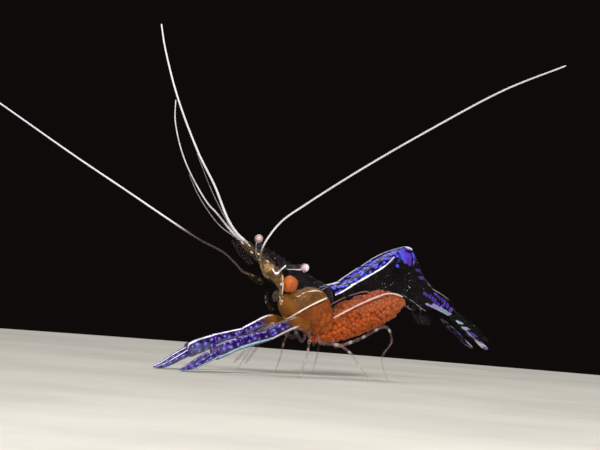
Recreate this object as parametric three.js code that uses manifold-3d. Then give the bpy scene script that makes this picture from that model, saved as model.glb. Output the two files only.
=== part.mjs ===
// Pederson's cleaner shrimp, an egg-bearing female standing with its tail arched, life size.
// Millimetres. The head points to -X, the back to +Z and the animal's left side to -Y.
// The floor is z = 0: both claws and all six walking legs end there in small flats.
import * as THREE from "three";
import { mergeVertices } from "three/addons/utils/BufferGeometryUtils.js";
import Module from "manifold-3d";

const wasm = await Module();
wasm.setup();

// ---- driving dimensions ----

const stance = { ahead: 2.01, right: 2.29 }; // brings the middle of the whole outline over the origin
const clearance = 0.06; // air between neighbouring pieces
const seam = 0.03; // the same between abdomen rings, as a share of the step between stations
const feeler = 0.5; // thickness of every feeler

// The trunk is drawn as pairs of points in the middle plane, one on the back and one on the belly.
const shell = {
  back: [[-4.85, 7.42], [-4.2, 7.34], [-2.95, 7.0], [-1.65, 6.56], [-0.45, 6.17]],
  belly: [[-4.28, 4.5], [-3.65, 3.5], [-2.6, 2.85], [-1.6, 2.6], [-0.75, 2.72]],
  halfWidth: [0.78, 1.02, 1.22, 1.26, 1.16],
};
const rings = {
  back: [
    [-0.36, 6.13], [1.05, 6.46], [2.05, 6.95], [3.1, 7.53], [4.7, 8.42], [6.4, 9.02],
    [7.6, 9.14], [8.78, 7.6], [9.36, 7.02], [10.0, 6.62], [11.1, 6.2], [12.25, 5.72],
  ],
  belly: [
    [-0.45, 4.0], [1.3, 4.75], [2.45, 5.2], [3.55, 5.58], [4.6, 5.85], [5.55, 5.92],
    [6.5, 5.8], [7.9, 5.55], [8.8, 5.35], [9.75, 5.22], [10.9, 5.0], [12.15, 4.66],
  ],
  halfWidth: [1.14, 1.2, 1.23, 1.22, 1.16, 1.05, 0.92, 0.8, 0.7, 0.6, 0.5, 0.44],
  joints: [0, 1, 3, 6, 7, 9, 11],
  flapDrop: [0.15, 0.75, 0.5, 0.32, 0.6, 0],
  flapThick: 0.32,
};
const brood = {
  top: [
    [-0.85, 2.6], [0.3, 3.9], [1.3, 4.75], [2.6, 5.3], [4.0, 5.75], [5.4, 5.95], [6.85, 5.65],
  ],
  bottom: [
    [-0.95, 2.38], [0.2, 2.26], [1.3, 2.5], [2.6, 2.88], [4.05, 3.36], [5.5, 3.98], [6.85, 4.85],
  ],
  halfWidth: [0.5, 0.9, 1.2, 1.32, 1.32, 1.2, 0.72],
  lump: 0.06,
  lumpsAround: 6,
  lumpsAlong: 3.5,
};
const rostrum = {
  rootBack: [-3.3, 7.0],
  brow: [-4.9, 7.72],
  tip: [-7.05, 8.55],
  keel: [-4.75, 6.95],
  thick: 0.5,
  upperTeeth: 8,
  lowerTeeth: 2,
  tooth: 0.13,
};
const eyes = {
  radius: 0.3,
  stalk: 0.46,
  left: {
    stalk: [[-5.2, -0.68, 7.0], [-5.1, -1.2, 7.05], [-4.74, -1.8, 7.09]],
    centre: [-4.61, -2.15, 7.1],
  },
  right: {
    stalk: [[-5.2, 0.68, 7.08], [-5.28, 1.5, 7.66], [-4.85, 2.08, 8.4]],
    centre: [-4.77, 2.15, 8.79],
  },
};
const antennule = {
  widths: [0.62, 0.6, 0.52, 0.5],
  left: [[-5.62, -0.35, 7.05], [-6.35, -0.36, 7.42], [-7.2, -0.36, 7.82], [-8.16, -0.36, 8.36]],
  right: [[-5.62, 0.35, 7.05], [-6.4, 0.36, 7.5], [-7.25, 0.36, 7.98], [-8.18, 0.36, 8.54]],
};
const whips = {
  left: {
    outer: [
      [-8.3, -0.37, 8.44], [-9.3, -0.4, 9.0], [-10.25, -0.48, 9.86], [-11.65, -0.6, 11.75],
      [-13.4, -0.7, 13.75], [-15.6, -0.8, 17.0], [-16.95, -0.8, 19.9], [-17.4, -0.8, 21.3],
    ],
    inner: [
      [-8.3, -0.37, 8.44], [-9.5, -0.75, 8.7], [-11.0, -1.2, 9.7], [-12.9, -1.6, 11.5],
      [-14.5, -1.8, 13.6],
    ],
  },
  right: {
    outer: [
      [-8.32, 0.37, 8.63], [-9.02, 0.5, 9.17], [-10.02, 0.8, 10.14], [-10.73, 1.0, 10.75],
      [-12.39, 1.6, 13.3], [-13.0, 2.1, 15.67], [-12.85, 2.4, 17.1],
    ],
    inner: [
      [-8.32, 0.37, 8.63], [-9.2, 1.15, 9.3], [-9.9, 1.8, 10.3], [-10.6, 2.2, 11.4],
      [-11.1, 2.5, 12.5],
    ],
  },
};
const scale = {
  left: [[-6.12, -1.05, 6.78], [-8.02, -1.05, 8.42]],
  right: [[-6.34, 1.1, 7.06], [-8.05, 1.08, 8.6]],
  tilt: -0.12,
  width: 0.8,
  thick: 0.5,
  edges: {
    at: [0, 0.12, 0.45, 0.8, 0.93, 1],
    inner: [0.25, 0.42, 0.5, 0.45, 0.33, 0.1],
    outer: [0.3, 0.44, 0.5, 0.46, 0.44, 0.26],
  },
};
const antennaRoot = {
  widths: [0.62, 0.6, 0.5],
  left: [[-5.2, -0.86, 5.95], [-5.75, -1.0, 6.02], [-6.95, -1.12, 6.3]],
  right: [[-5.2, 0.86, 5.95], [-5.7, 1.0, 6.06], [-6.42, 1.12, 6.4]],
};
const antenna = {
  left: [
    [-7.2, -1.18, 6.4], [-7.95, -1.45, 7.2], [-8.25, -1.75, 7.85], [-8.45, -2.3, 8.55],
    [-8.3, -3.4, 9.85], [-8.0, -5.2, 11.05], [-7.6, -9.5, 13.44], [-7.2, -14.5, 15.95],
    [-6.95, -19.9, 18.36], [-6.86, -24.3, 19.76],
  ],
  right: [
    [-6.64, 1.36, 6.5], [-6.85, 2.15, 7.12], [-7.15, 2.9, 7.7], [-7.88, 4.5, 8.42],
    [-9.0, 6.1, 9.47], [-11.0, 8.6, 11.28], [-13.15, 11.4, 13.25], [-16.6, 15.6, 16.44],
    [-19.9, 19.6, 19.45],
  ],
};
const headBlock = {
  back: [[-4.98, 6.98], [-5.5, 7.08]],
  belly: [[-4.72, 5.75], [-5.42, 6.45]],
  halfWidth: [0.58, 0.5],
};
const mouth = { centre: [-4.86, 0, 5.05], reach: [0.26, 0.26, 0.5] };
const jawLeg = {
  path: [[-4.5, 0.6, 4.2], [-4.94, 0.6, 4.5], [-5.14, 0.6, 4.95], [-5.16, 0.6, 5.36]],
  widths: [0.55, 0.56, 0.52, 0.5],
};
const frontLeg = {
  path: [
    [-3.6, 0.34, 3.1], [-4.7, 0.34, 3.25], [-6.0, 0.36, 2.32], [-6.9, 0.42, 1.45],
    [-7.6, 0.5, 0.75],
  ],
  widths: [0.5, 0.52, 0.52, 0.56, 0.5],
};
const claw = {
  arm: [[-2.95, 0.98, 3.3], [-4.1, 1.12, 3.36], [-6.5, 1.16, 2.56]],
  armWidths: [0.72, 0.9, 0.86],
  wrist: [[-6.62, 1.16, 2.52], [-7.9, 1.17, 2.24], [-9.16, 1.18, 1.95]],
  wristWidths: [0.72, 0.86, 0.98],
  palm: [[-9.3, 1.18, 1.9], [-10.2, 1.2, 1.6], [-11.2, 1.22, 1.24]],
  palmWidths: [0.84, 1.04, 1.0],
  fingerLength: 2.75,
  fingerSlope: 0.46,
  fingerDrop: 0.05,
  fingerBend: 1.1,
  fingerSpread: 0.29,
  fingerPinch: 0.02,
  fingerSink: 0.1,
  fingerGap: 0.12,
  finger: 0.5,
};
const walkingLegs = {
  widths: [0.68, 0.6, 0.54, 0.54, 0.52],
  left: {
    3: [
      [-2.2, -0.8, 2.5], [-3.0, -1.5, 2.3], [-3.9, -2.3, 1.6], [-4.8, -2.9, 0.8],
      [-5.3, -3.2, -0.1],
    ],
    4: [
      [-1.3, -0.85, 2.3], [-0.45, -1.75, 2.2], [-0.1, -2.6, 1.7], [0.0, -3.4, 0.9],
      [0.4, -4.0, -0.1],
    ],
    5: [
      [0.0, -1.0, 2.15], [1.2, -1.78, 2.62], [3.6, -2.15, 3.6], [3.55, -2.75, 2.75],
      [1.95, -3.45, 1.5], [1.92, -4.2, -0.1],
    ],
  },
  right: {
    3: [
      [-2.2, 0.8, 2.5], [-2.8, 2.2, 3.0], [-3.4, 2.9, 2.1], [-4.0, 3.3, 1.0], [-4.4, 3.6, -0.1],
    ],
    4: [
      [-1.3, 0.85, 2.3], [-0.9, 2.3, 3.1], [-0.7, 3.1, 2.1], [-0.5, 3.6, 1.0], [-0.45, 4.0, -0.1],
    ],
    5: [
      [0.0, 1.0, 2.15], [1.0, 1.85, 2.9], [2.2, 2.4, 3.4], [2.7, 3.1, 2.2], [2.9, 3.5, 1.1],
      [3.1, 4.0, -0.1],
    ],
  },
};
const swimmeret = {
  roots: [[0.7, 1.14, 3.54], [2.1, 1.14, 4.02], [3.5, 1.14, 4.56], [4.9, 1.14, 5.06], [8.9, 0.34, 4.42]],
  lean: [1, 0, 0.05],
  lastLean: [1, 0, -0.3],
  length: 1.25,
  width: 0.66,
  thick: 0.5,
  edges: { at: [0, 0.3, 0.7, 1], inner: [0.2, 0.45, 0.45, 0.15], outer: [0.2, 0.45, 0.45, 0.15] },
};
const tail = {
  root: [12.35, 5.08],
  slope: 0.57,
  telson: { length: 3.9, halfWidths: [0.36, 0.32, 0.25, 0.18] },
  inner: { length: 4.05, width: 0.5, side: 0.68, drop: 0.06 },
  outer: { length: 4.25, width: 0.66, side: 0.72, drop: 0.62 },
  start: 0.15,
  thick: 0.5,
  edges: {
    at: [0, 0.2, 0.6, 0.88, 1],
    inner: [0.25, 0.42, 0.5, 0.42, 0.16],
    outer: [0.25, 0.42, 0.5, 0.42, 0.16],
  },
};

// ---- colours ----

function paint(color, roughness = 0.35) {
  return new THREE.MeshStandardMaterial({ color, roughness, metalness: 0 });
}

const looks = {
  clear: paint(0x9aa0b8, 0.2),
  spotted: paint(0x3b34b4, 0.25),
  organ: paint(0xa8743a, 0.35),
  eggs: paint(0xcf5f22, 0.4),
  eye: paint(0xd9a3ae, 0.2),
  feeler: paint(0xf0ece4, 0.5),
};

// ---- building blocks ----

const point = ([x, y, z]) => new THREE.Vector3(x, y, z);
const inPlane = ([x, z]) => new THREE.Vector3(x, 0, z);
const sides = { left: -1, right: 1 };

function mirrored(path, side) {
  return path.map(([x, y, z]) => [x, y * side, z]);
}

// Any three.js geometry as a solid with its shared corners joined and its faces outward.
function solid(geometry) {
  const bare = geometry.clone();
  bare.deleteAttribute("normal");
  bare.deleteAttribute("uv");
  const welded = mergeVertices(bare, 1e-4);
  const corners = welded.index.array;
  const spots = welded.attributes.position.array;
  const corner = (i) => new THREE.Vector3().fromArray(spots, 3 * corners[i]);
  let volume = 0;
  for (let i = 0; i < corners.length; i += 3) {
    volume += corner(i).dot(corner(i + 1).cross(corner(i + 2)));
  }
  if (volume < 0) {
    for (let i = 0; i < corners.length; i += 3) {
      [corners[i], corners[i + 1]] = [corners[i + 1], corners[i]];
    }
  }
  const mesh = new wasm.Mesh({
    numProp: 3,
    vertProperties: Float32Array.from(spots),
    triVerts: Uint32Array.from(corners),
  });
  return new wasm.Manifold(mesh);
}

// A closed skin: a capped cylinder whose wall and caps move to where place(along, around, reach) says.
function skin(steps, around, place) {
  const shape = new THREE.CylinderGeometry(1, 1, 1, around, steps);
  const spots = shape.attributes.position;
  const from = new THREE.Vector3();
  for (let i = 0; i < spots.count; i += 1) {
    from.fromBufferAttribute(spots, i);
    const reach = Math.min(1, Math.hypot(from.x, from.z));
    const to = place(0.5 - from.y, Math.atan2(from.x, from.z), reach);
    spots.setXYZ(i, to.x, to.y, to.z);
  }
  return solid(shape);
}

const curveThrough = (pairs) => new THREE.CatmullRomCurve3(pairs.map(inPlane), false, "centripetal");

function between(values, share) {
  const spot = THREE.MathUtils.clamp(share, 0, 1) * (values.length - 1);
  const low = Math.min(Math.floor(spot), values.length - 2);
  return THREE.MathUtils.lerp(values[low], values[low + 1], spot - low);
}

// Part of the trunk between two shares of its length, an oval standing on each pair of points.
function trunk(back, belly, halfWidth, from, to, steps, around, grow = 0, bulge = () => 0) {
  const upper = curveThrough(back);
  const lower = curveThrough(belly);
  return skin(steps, around, (along, turn, reach) => {
    const share = THREE.MathUtils.lerp(from, to, along);
    const top = upper.getPoint(share);
    const bottom = lower.getPoint(share);
    const centre = top.clone().add(bottom).multiplyScalar(0.5);
    const rise = top.sub(bottom).multiplyScalar(0.5);
    rise.setLength(rise.length() + grow);
    const swell = 1 + bulge(share, turn);
    const wide = (between(halfWidth, share) + grow) * Math.sign(Math.sin(turn));
    centre.addScaledVector(rise, Math.cos(turn) * reach * swell);
    centre.y += wide * Math.abs(Math.sin(turn)) ** 0.85 * reach * swell;
    return centre;
  });
}

// A jointed limb: straight stretches between joints, each joint a little thicker than the stretch.
function limb(path, widths, options = {}) {
  const { around = 8, waist = 0.9, grow = 0 } = options;
  const joints = path.map(point);
  const last = joints.length - 1;
  const stops = [];
  joints.forEach((joint, i) => {
    const direction = turnAt(joints, i);
    const overrun = grow * ((i === last) - (i === 0));
    const at = joint.clone().addScaledVector(direction, overrun);
    stops.push({ at, width: between(widths, i / last), direction });
    const waists = waist < 1 && i < last ? [0.2, 0.8] : [];
    waists.forEach((share) => {
      const run = joints[i + 1].clone().sub(joint);
      const width = between(widths, (i + share) / last) * waist;
      stops.push({ at: joint.clone().addScaledVector(run, share), width, direction: run.normalize() });
    });
  });
  return skin(stops.length - 1, around, (along, turn, reach) => {
    const stop = stops[Math.round(along * (stops.length - 1))];
    const across = new THREE.Vector3(0, 1, 0);
    across.addScaledVector(stop.direction, -across.dot(stop.direction)).normalize();
    const upward = stop.direction.clone().cross(across).normalize();
    const radius = (stop.width / 2 + grow) * reach;
    const spot = stop.at.clone().addScaledVector(across, Math.sin(turn) * radius);
    return spot.addScaledVector(upward, Math.cos(turn) * radius);
  });
}

// The way a limb heads at one of its joints: half way between the stretches before and after.
function turnAt(joints, i) {
  const heading = new THREE.Vector3();
  if (i > 0) {
    heading.add(joints[i].clone().sub(joints[i - 1]).normalize());
  }
  if (i < joints.length - 1) {
    heading.add(joints[i + 1].clone().sub(joints[i]).normalize());
  }
  return heading.normalize();
}

// A feeler of even thickness along a smooth curve.
function whip(path, steps) {
  const round = new THREE.Shape();
  round.absarc(0, 0, feeler / 2, 0, 2 * Math.PI);
  const route = new THREE.CatmullRomCurve3(path.map(point), false, "centripetal");
  return solid(new THREE.ExtrudeGeometry(round, { steps, curveSegments: 4, extrudePath: route }));
}

// A flat blade lying from root to tip, its outline given as half widths along each edge.
function blade(root, tip, across, width, thick, edges) {
  const run = tip.clone().sub(root);
  const length = run.length();
  const ahead = run.normalize();
  const normal = ahead.clone().cross(across).normalize();
  const side = normal.clone().cross(ahead).normalize();
  const outline = new THREE.Shape();
  outline.moveTo(0, -edges.inner[0] * width);
  const last = edges.inner.length - 1;
  edges.inner.forEach((half, i) => outline.lineTo(length * edges.at[i], -half * width));
  for (let i = last; i >= 0; i -= 1) {
    outline.lineTo(length * edges.at[i], edges.outer[i] * width);
  }
  outline.closePath();
  const slab = new THREE.ExtrudeGeometry(outline, { depth: thick, bevelEnabled: false, steps: 1 });
  slab.translate(0, 0, -thick / 2);
  slab.applyMatrix4(new THREE.Matrix4().makeBasis(ahead, side, normal).setPosition(root));
  return solid(slab);
}

const onFloor = (piece) => piece.trimByPlane([0, 0, 1], 0);

const shrimp = new THREE.Group();

function put(name, piece, look) {
  const cut = piece.getMesh();
  const shape = new THREE.BufferGeometry();
  shape.setAttribute("position", new THREE.BufferAttribute(Float32Array.from(cut.vertProperties), 3));
  shape.setIndex(new THREE.BufferAttribute(Uint32Array.from(cut.triVerts), 1));
  shape.computeVertexNormals();
  const mesh = new THREE.Mesh(shape, look);
  mesh.name = name;
  shrimp.add(mesh);
}

// ---- claws and legs, made first because the trunk is cut clear of them ----

function arm(side, grow = 0) {
  return limb(mirrored(claw.arm, side), claw.armWidths, { around: 12, waist: 1, grow });
}

function fingers(side) {
  const [rootX, rootY, rootZ] = claw.palm[2];
  const made = {};
  Object.entries({ fixed: 1, moving: -1 }).forEach(([kind, way]) => {
    const y = rootY + way * claw.fingerSpread;
    const start = kind === "fixed" ? claw.fingerSink : -claw.fingerGap;
    const path = [start, -claw.fingerBend, -claw.fingerLength].map((x, i) => {
      const inward = i === 2 ? way * claw.fingerPinch : 0;
      return [rootX + x, y - inward, rootZ - claw.fingerDrop + x * claw.fingerSlope];
    });
    made[kind] = onFloor(limb(mirrored(path, side), [claw.finger, claw.finger], { waist: 1 }));
  });
  return made;
}

function addClaw(label, side) {
  const { fixed, moving } = fingers(side);
  const palm = limb(mirrored(claw.palm, side), claw.palmWidths, { around: 12, waist: 1 });
  const wrist = limb(mirrored(claw.wrist, side), claw.wristWidths, { around: 12, waist: 1 });
  put(`claw_arm_${label}`, arm(side), looks.spotted);
  put(`claw_wrist_${label}`, wrist, looks.spotted);
  put(`claw_hand_${label}`, palm.add(fixed), looks.spotted);
  put(`claw_finger_${label}`, moving, looks.spotted);
}

function walkingLeg(label, number, grow = 0) {
  return limb(walkingLegs[label][number], walkingLegs.widths, { grow });
}

// ---- trunk ----

function rostrumBlade() {
  const [tipX, tipZ] = rostrum.tip;
  const outline = new THREE.Shape();
  outline.moveTo(...rostrum.rootBack);
  const [rootX, rootZ] = rostrum.rootBack;
  const [browX, browZ] = rostrum.brow;
  const upper = new THREE.SplineCurve([
    new THREE.Vector2(rootX, rootZ), new THREE.Vector2(browX, browZ), new THREE.Vector2(tipX, tipZ),
  ]);
  for (let i = 1; i <= rostrum.upperTeeth; i += 1) {
    const notch = upper.getPoint(i / (rostrum.upperTeeth + 1));
    const crest = upper.getPoint((i + 0.45) / (rostrum.upperTeeth + 1));
    outline.lineTo(notch.x, notch.y);
    outline.lineTo(crest.x, crest.y + rostrum.tooth);
  }
  outline.lineTo(tipX, tipZ);
  const [keelX, keelZ] = rostrum.keel;
  for (let i = rostrum.lowerTeeth; i > 0; i -= 1) {
    const share = 0.35 + (0.45 * i) / rostrum.lowerTeeth;
    const x = THREE.MathUtils.lerp(keelX, tipX, share);
    const z = THREE.MathUtils.lerp(keelZ, tipZ, share);
    outline.lineTo(x, z - rostrum.tooth / 2);
    outline.lineTo(x + 1.4 * rostrum.tooth, z - rostrum.tooth / 2);
  }
  outline.lineTo(keelX, keelZ);
  outline.closePath();
  const slab = new THREE.ExtrudeGeometry(outline, { depth: rostrum.thick, bevelEnabled: false, steps: 1 });
  slab.rotateX(Math.PI / 2);
  slab.translate(0, rostrum.thick / 2, 0);
  return solid(slab);
}

function carapace(grow = 0) {
  return trunk(shell.back, shell.belly, shell.halfWidth, 0, 1, 9, 20, grow);
}

function abdomenRing(index, grow = 0) {
  const stations = rings.back.length - 1;
  const edge = grow ? -seam : seam;
  const from = Math.max(0, (rings.joints[index] + edge) / stations);
  const to = (rings.joints[index + 1] - edge) / stations;
  const steps = 2 + rings.joints[index + 1] - rings.joints[index];
  const body = trunk(rings.back, rings.belly, rings.halfWidth, from, to, steps, 16, grow);
  const drop = rings.flapDrop[index];
  if (!drop) {
    return body;
  }
  const flaps = Object.values(sides).map((side) => flap(from, to, drop, side, grow));
  return body.add(flaps[0]).add(flaps[1]);
}

// The side plate of a ring: it hangs from half way down the ring's side to below the belly.
function flap(from, to, drop, side, grow) {
  const upper = curveThrough(rings.back);
  const lower = curveThrough(rings.belly);
  const spot = (share, depth) => {
    const top = upper.getPoint(share);
    const down = lower.getPoint(share).sub(top);
    return top.addScaledVector(down, 0.5).addScaledVector(down.normalize(), depth);
  };
  const reach = (share) => upper.getPoint(share).distanceTo(lower.getPoint(share)) / 2;
  const outline = new THREE.Shape();
  const first = spot(from, 0);
  outline.moveTo(first.x, first.z);
  const facets = 7;
  for (let i = 0; i <= facets; i += 1) {
    const share = THREE.MathUtils.lerp(from, to, i / facets);
    const round = Math.sin((Math.PI * (i + 0.5)) / (facets + 1)) ** 0.6;
    const low = spot(share, reach(share) - 0.1 + (drop + 0.1 + grow) * round);
    outline.lineTo(low.x, low.z);
  }
  const end = spot(to, 0);
  outline.lineTo(end.x, end.z);
  outline.closePath();
  const thick = rings.flapThick + 2 * grow;
  const slab = new THREE.ExtrudeGeometry(outline, { depth: thick, bevelEnabled: false, steps: 1 });
  slab.rotateX(Math.PI / 2);
  const halfWidth = between(rings.halfWidth, (from + to) / 2);
  slab.translate(0, thick / 2 + side * (halfWidth - rings.flapThick / 2), 0);
  return solid(slab);
}

function swimmeretBlade(index, side, grow = 0) {
  const root = point(mirrored([swimmeret.roots[index]], side)[0]);
  const free = index === swimmeret.roots.length - 1;
  const lean = point(free ? swimmeret.lastLean : swimmeret.lean).normalize();
  const tip = root.clone().addScaledVector(lean, swimmeret.length + grow);
  root.addScaledVector(lean, -grow);
  const { width, thick, edges } = swimmeret;
  return blade(root, tip, new THREE.Vector3(1, 0, 1), width + 2 * grow, thick + 2 * grow, edges);
}

function eggMass() {
  const lumps = (share, turn) => {
    const along = Math.cos(2 * Math.PI * brood.lumpsAlong * share);
    return brood.lump * Math.cos(brood.lumpsAround * turn) * along;
  };
  let eggs = trunk(brood.top, brood.bottom, brood.halfWidth, 0, 1, 12, 16, 0, lumps);
  const roof = carapace(clearance);
  eggs = eggs.subtract(roof).subtract(roof.translate([2 * clearance, 0, 0]));
  for (let i = 0; i < 5; i += 1) {
    eggs = eggs.subtract(abdomenRing(i, clearance));
  }
  for (const [label, side] of Object.entries(sides)) {
    for (let i = 0; i < 4; i += 1) {
      eggs = eggs.subtract(swimmeretBlade(i, side, clearance));
    }
    for (const number of [3, 4, 5]) {
      eggs = eggs.subtract(walkingLeg(label, number, clearance));
    }
  }
  return eggs;
}

// ---- head ----

function headFront() {
  return trunk(headBlock.back, headBlock.belly, headBlock.halfWidth, 0, 1, 2, 12);
}

function mouthLump() {
  const lump = new THREE.SphereGeometry(1, 10, 6);
  lump.scale(...mouth.reach);
  lump.translate(...mouth.centre);
  return solid(lump);
}

function eyeball(centre) {
  const ball = new THREE.SphereGeometry(eyes.radius, 12, 10);
  ball.translate(...centre);
  return solid(ball);
}

function scaleBlade(label) {
  const [root, tip] = scale[label].map(point);
  const across = new THREE.Vector3(0, sides[label], scale.tilt);
  return blade(root, tip, across, scale.width, scale.thick, scale.edges);
}

// ---- tail fan ----

const tailAhead = new THREE.Vector3(1, 0, -tail.slope).normalize();
const tailLift = new THREE.Vector3(tail.slope, 0, 1).normalize();

function telson() {
  const { length, halfWidths } = tail.telson;
  const root = inPlane(tail.root);
  return skin(6, 10, (along, turn, reach) => {
    const spot = root.clone().addScaledVector(tailAhead, along * length);
    spot.y += between(halfWidths, along) * Math.sin(turn) * reach;
    return spot.addScaledVector(tailLift, (tail.thick / 2) * Math.cos(turn) * reach);
  });
}

function tailBlade(size, side) {
  const root = inPlane(tail.root).addScaledVector(tailAhead, tail.start);
  root.addScaledVector(tailLift, -size.drop);
  root.y = side * size.side;
  const tip = root.clone().addScaledVector(tailAhead, size.length);
  return blade(root, tip, new THREE.Vector3(0, side, 0), size.width, tail.thick, tail.edges);
}

// ---- assembly ----

const arms = Object.values(sides).map((side) => arm(side, clearance));
put("carapace", carapace().add(rostrumBlade()).subtract(arms[0]).subtract(arms[1]), looks.clear);
put("head_front", headFront(), looks.organ);
put("mouthparts", mouthLump(), looks.organ);
for (let i = 0; i < 6; i += 1) {
  put(`abdomen_${i + 1}`, abdomenRing(i), i < 3 ? looks.spotted : looks.clear);
}
put("egg_mass", eggMass(), looks.eggs);
put("telson", telson(), looks.clear);

for (const [label, side] of Object.entries(sides)) {
  const stalk = limb(eyes[label].stalk, [eyes.stalk, eyes.stalk], { waist: 1 });
  const pair = whip(whips[label].outer, 15).add(whip(whips[label].inner, 7));
  put(`eyestalk_${label}`, stalk, looks.clear);
  put(`eye_${label}`, eyeball(eyes[label].centre), looks.eye);
  put(`antennule_${label}`, limb(antennule[label], antennule.widths), looks.clear);
  put(`antennule_whips_${label}`, pair, looks.feeler);
  put(`antenna_scale_${label}`, scaleBlade(label), looks.clear);
  put(`antenna_root_${label}`, limb(antennaRoot[label], antennaRoot.widths), looks.organ);
  put(`antenna_${label}`, whip(antenna[label], 24), looks.feeler);
  put(`jaw_leg_${label}`, limb(mirrored(jawLeg.path, side), jawLeg.widths), looks.clear);
  put(`front_leg_${label}`, limb(mirrored(frontLeg.path, side), frontLeg.widths), looks.clear);
  addClaw(label, side);
  for (const number of [3, 4, 5]) {
    put(`walking_leg_${number}_${label}`, onFloor(walkingLeg(label, number)), looks.clear);
  }
  for (let i = 0; i < 5; i += 1) {
    put(`swimmeret_${i + 1}_${label}`, swimmeretBlade(i, side), looks.clear);
  }
  put(`tail_inner_${label}`, tailBlade(tail.inner, side), looks.clear);
  put(`tail_outer_${label}`, tailBlade(tail.outer, side), looks.clear);
}

shrimp.position.set(stance.ahead, stance.right, 0);

export default shrimp;
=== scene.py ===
import random
from math import copysign, cos, exp, pi, radians, sin, sqrt, tau

import bmesh
import bpy
from mathutils import Matrix, Vector, noise


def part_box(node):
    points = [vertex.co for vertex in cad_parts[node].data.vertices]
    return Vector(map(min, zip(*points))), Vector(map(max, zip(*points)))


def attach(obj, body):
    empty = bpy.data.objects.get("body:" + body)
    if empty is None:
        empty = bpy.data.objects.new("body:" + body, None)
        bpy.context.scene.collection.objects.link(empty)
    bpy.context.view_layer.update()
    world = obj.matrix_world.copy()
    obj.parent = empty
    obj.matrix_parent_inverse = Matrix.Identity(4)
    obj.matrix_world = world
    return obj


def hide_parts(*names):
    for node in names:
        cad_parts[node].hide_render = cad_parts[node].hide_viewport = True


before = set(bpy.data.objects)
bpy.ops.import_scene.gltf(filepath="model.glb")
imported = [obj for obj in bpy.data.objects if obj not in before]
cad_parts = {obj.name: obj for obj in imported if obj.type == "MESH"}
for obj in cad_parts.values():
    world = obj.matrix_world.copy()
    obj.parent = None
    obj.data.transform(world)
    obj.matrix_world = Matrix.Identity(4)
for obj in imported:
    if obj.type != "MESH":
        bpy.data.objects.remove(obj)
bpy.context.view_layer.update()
scene = bpy.context.scene

# The shrimp is drawn in millimetres in its own measure: head to -X, back to +Z, left side to -Y, floor at 0.
mm = 0.001
mouthHome = Vector((-4.86, 0, 5.05))  # the middle of the mouth in that measure
mouthLow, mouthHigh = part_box("mouthparts")
bodyHome = (mouthLow + mouthHigh) / 2 - mouthHome * mm
toFrame = Matrix.Translation(bodyHome) @ Matrix.Scale(mm, 4)
sides = {"left": -1, "right": 1}


# camera, floor and light

cameraSet = {"azimuth": -45, "elevation": -1.5, "roll": 4.5, "away": 160, "aim": (-3.2, 0, 9.9), "lens": 146}


def addCamera(setup):
    turn = radians(setup["azimuth"])
    lift = radians(setup["elevation"])
    back = Vector((sin(turn) * cos(lift), -cos(turn) * cos(lift), sin(lift)))
    lens = bpy.data.cameras.new("camera")
    lens.lens = setup["lens"]
    lens.clip_start = 0.01
    lens.clip_end = 5
    camera = bpy.data.objects.new("camera", lens)
    scene.collection.objects.link(camera)
    stand = Matrix.Translation(toFrame @ (Vector(setup["aim"]) + back * setup["away"]))
    facing = back.to_track_quat("Z", "Y").to_matrix().to_4x4()
    camera.matrix_world = stand @ facing @ Matrix.Rotation(radians(setup["roll"]), 4, "Z")
    scene.camera = camera


lampSet = {
    "key": {"from": (-60, -120, 130), "aim": (0, 0, 5), "size": 60, "watts": 0.29, "tint": (1, 0.97, 0.93)},
    "fill": {"from": (-130, -90, 18), "aim": (-5, 0, 4), "size": 60, "watts": 0.12, "tint": (0.92, 0.95, 1)},
    "rim": {"from": (60, 60, 150), "aim": (2, 0, 5), "size": 90, "watts": 0.13, "tint": (1, 1, 1)},
}


def addLamps(lamps):
    for name, setup in lamps.items():
        light = bpy.data.lights.new(name, "AREA")
        light.shape = "DISK"
        light.size = setup["size"] * mm
        light.energy = setup["watts"]
        light.color = setup["tint"]
        lamp = bpy.data.objects.new(name, light)
        scene.collection.objects.link(lamp)
        start = Vector(setup["from"])
        facing = (start - Vector(setup["aim"])).to_track_quat("Z", "Y").to_matrix().to_4x4()
        lamp.matrix_world = Matrix.Translation(toFrame @ start) @ facing


def addWorld():
    world = bpy.data.worlds.new("studio")
    world.use_nodes = True
    backdrop = world.node_tree.nodes["Background"]
    backdrop.inputs["Color"].default_value = (0.0045, 0.0035, 0.0032, 1)
    backdrop.inputs["Strength"].default_value = 1
    scene.world = world


addCamera(cameraSet)
addLamps(lampSet)
addWorld()
scene.view_settings.view_transform = "Standard"
scene.cycles.transparent_max_bounces = 40  # a look through the body crosses many clear walls
print("camera, lamps and backdrop are in place")


# small helpers for node trees

def addNode(tree, kind, wires=None, **settings):
    node = tree.nodes.new(kind)
    for key, value in settings.items():
        setattr(node, key, value)
    for socket, value in (wires or {}).items():
        if isinstance(value, bpy.types.NodeSocket):
            tree.links.new(value, node.inputs[socket])
        else:
            node.inputs[socket].default_value = value
    return node


def maths(tree, operation, a, b=0.0, c=0.0):
    return addNode(tree, "ShaderNodeMath", {0: a, 1: b, 2: c}, operation=operation).outputs[0]


def bothOf(tree, a, b):
    return maths(tree, "MULTIPLY", a, b)


def eitherOf(tree, a, b):
    return maths(tree, "MAXIMUM", a, b)


def blend(tree, share, a, b):
    wires = {0: share, 6: a, 7: b}
    return addNode(tree, "ShaderNodeMix", wires, data_type="RGBA").outputs[2]


def lerp(tree, share, a, b):
    return addNode(tree, "ShaderNodeMix", {0: share, 2: a, 3: b}, data_type="FLOAT").outputs[0]


def ramp(tree, value, low, high, start=0.0, end=1.0):  # a soft step from start to end
    wires = {"Value": value, "From Min": low, "From Max": high, "To Min": start, "To Max": end}
    return addNode(tree, "ShaderNodeMapRange", wires, interpolation_type="SMOOTHSTEP").outputs[0]


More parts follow.
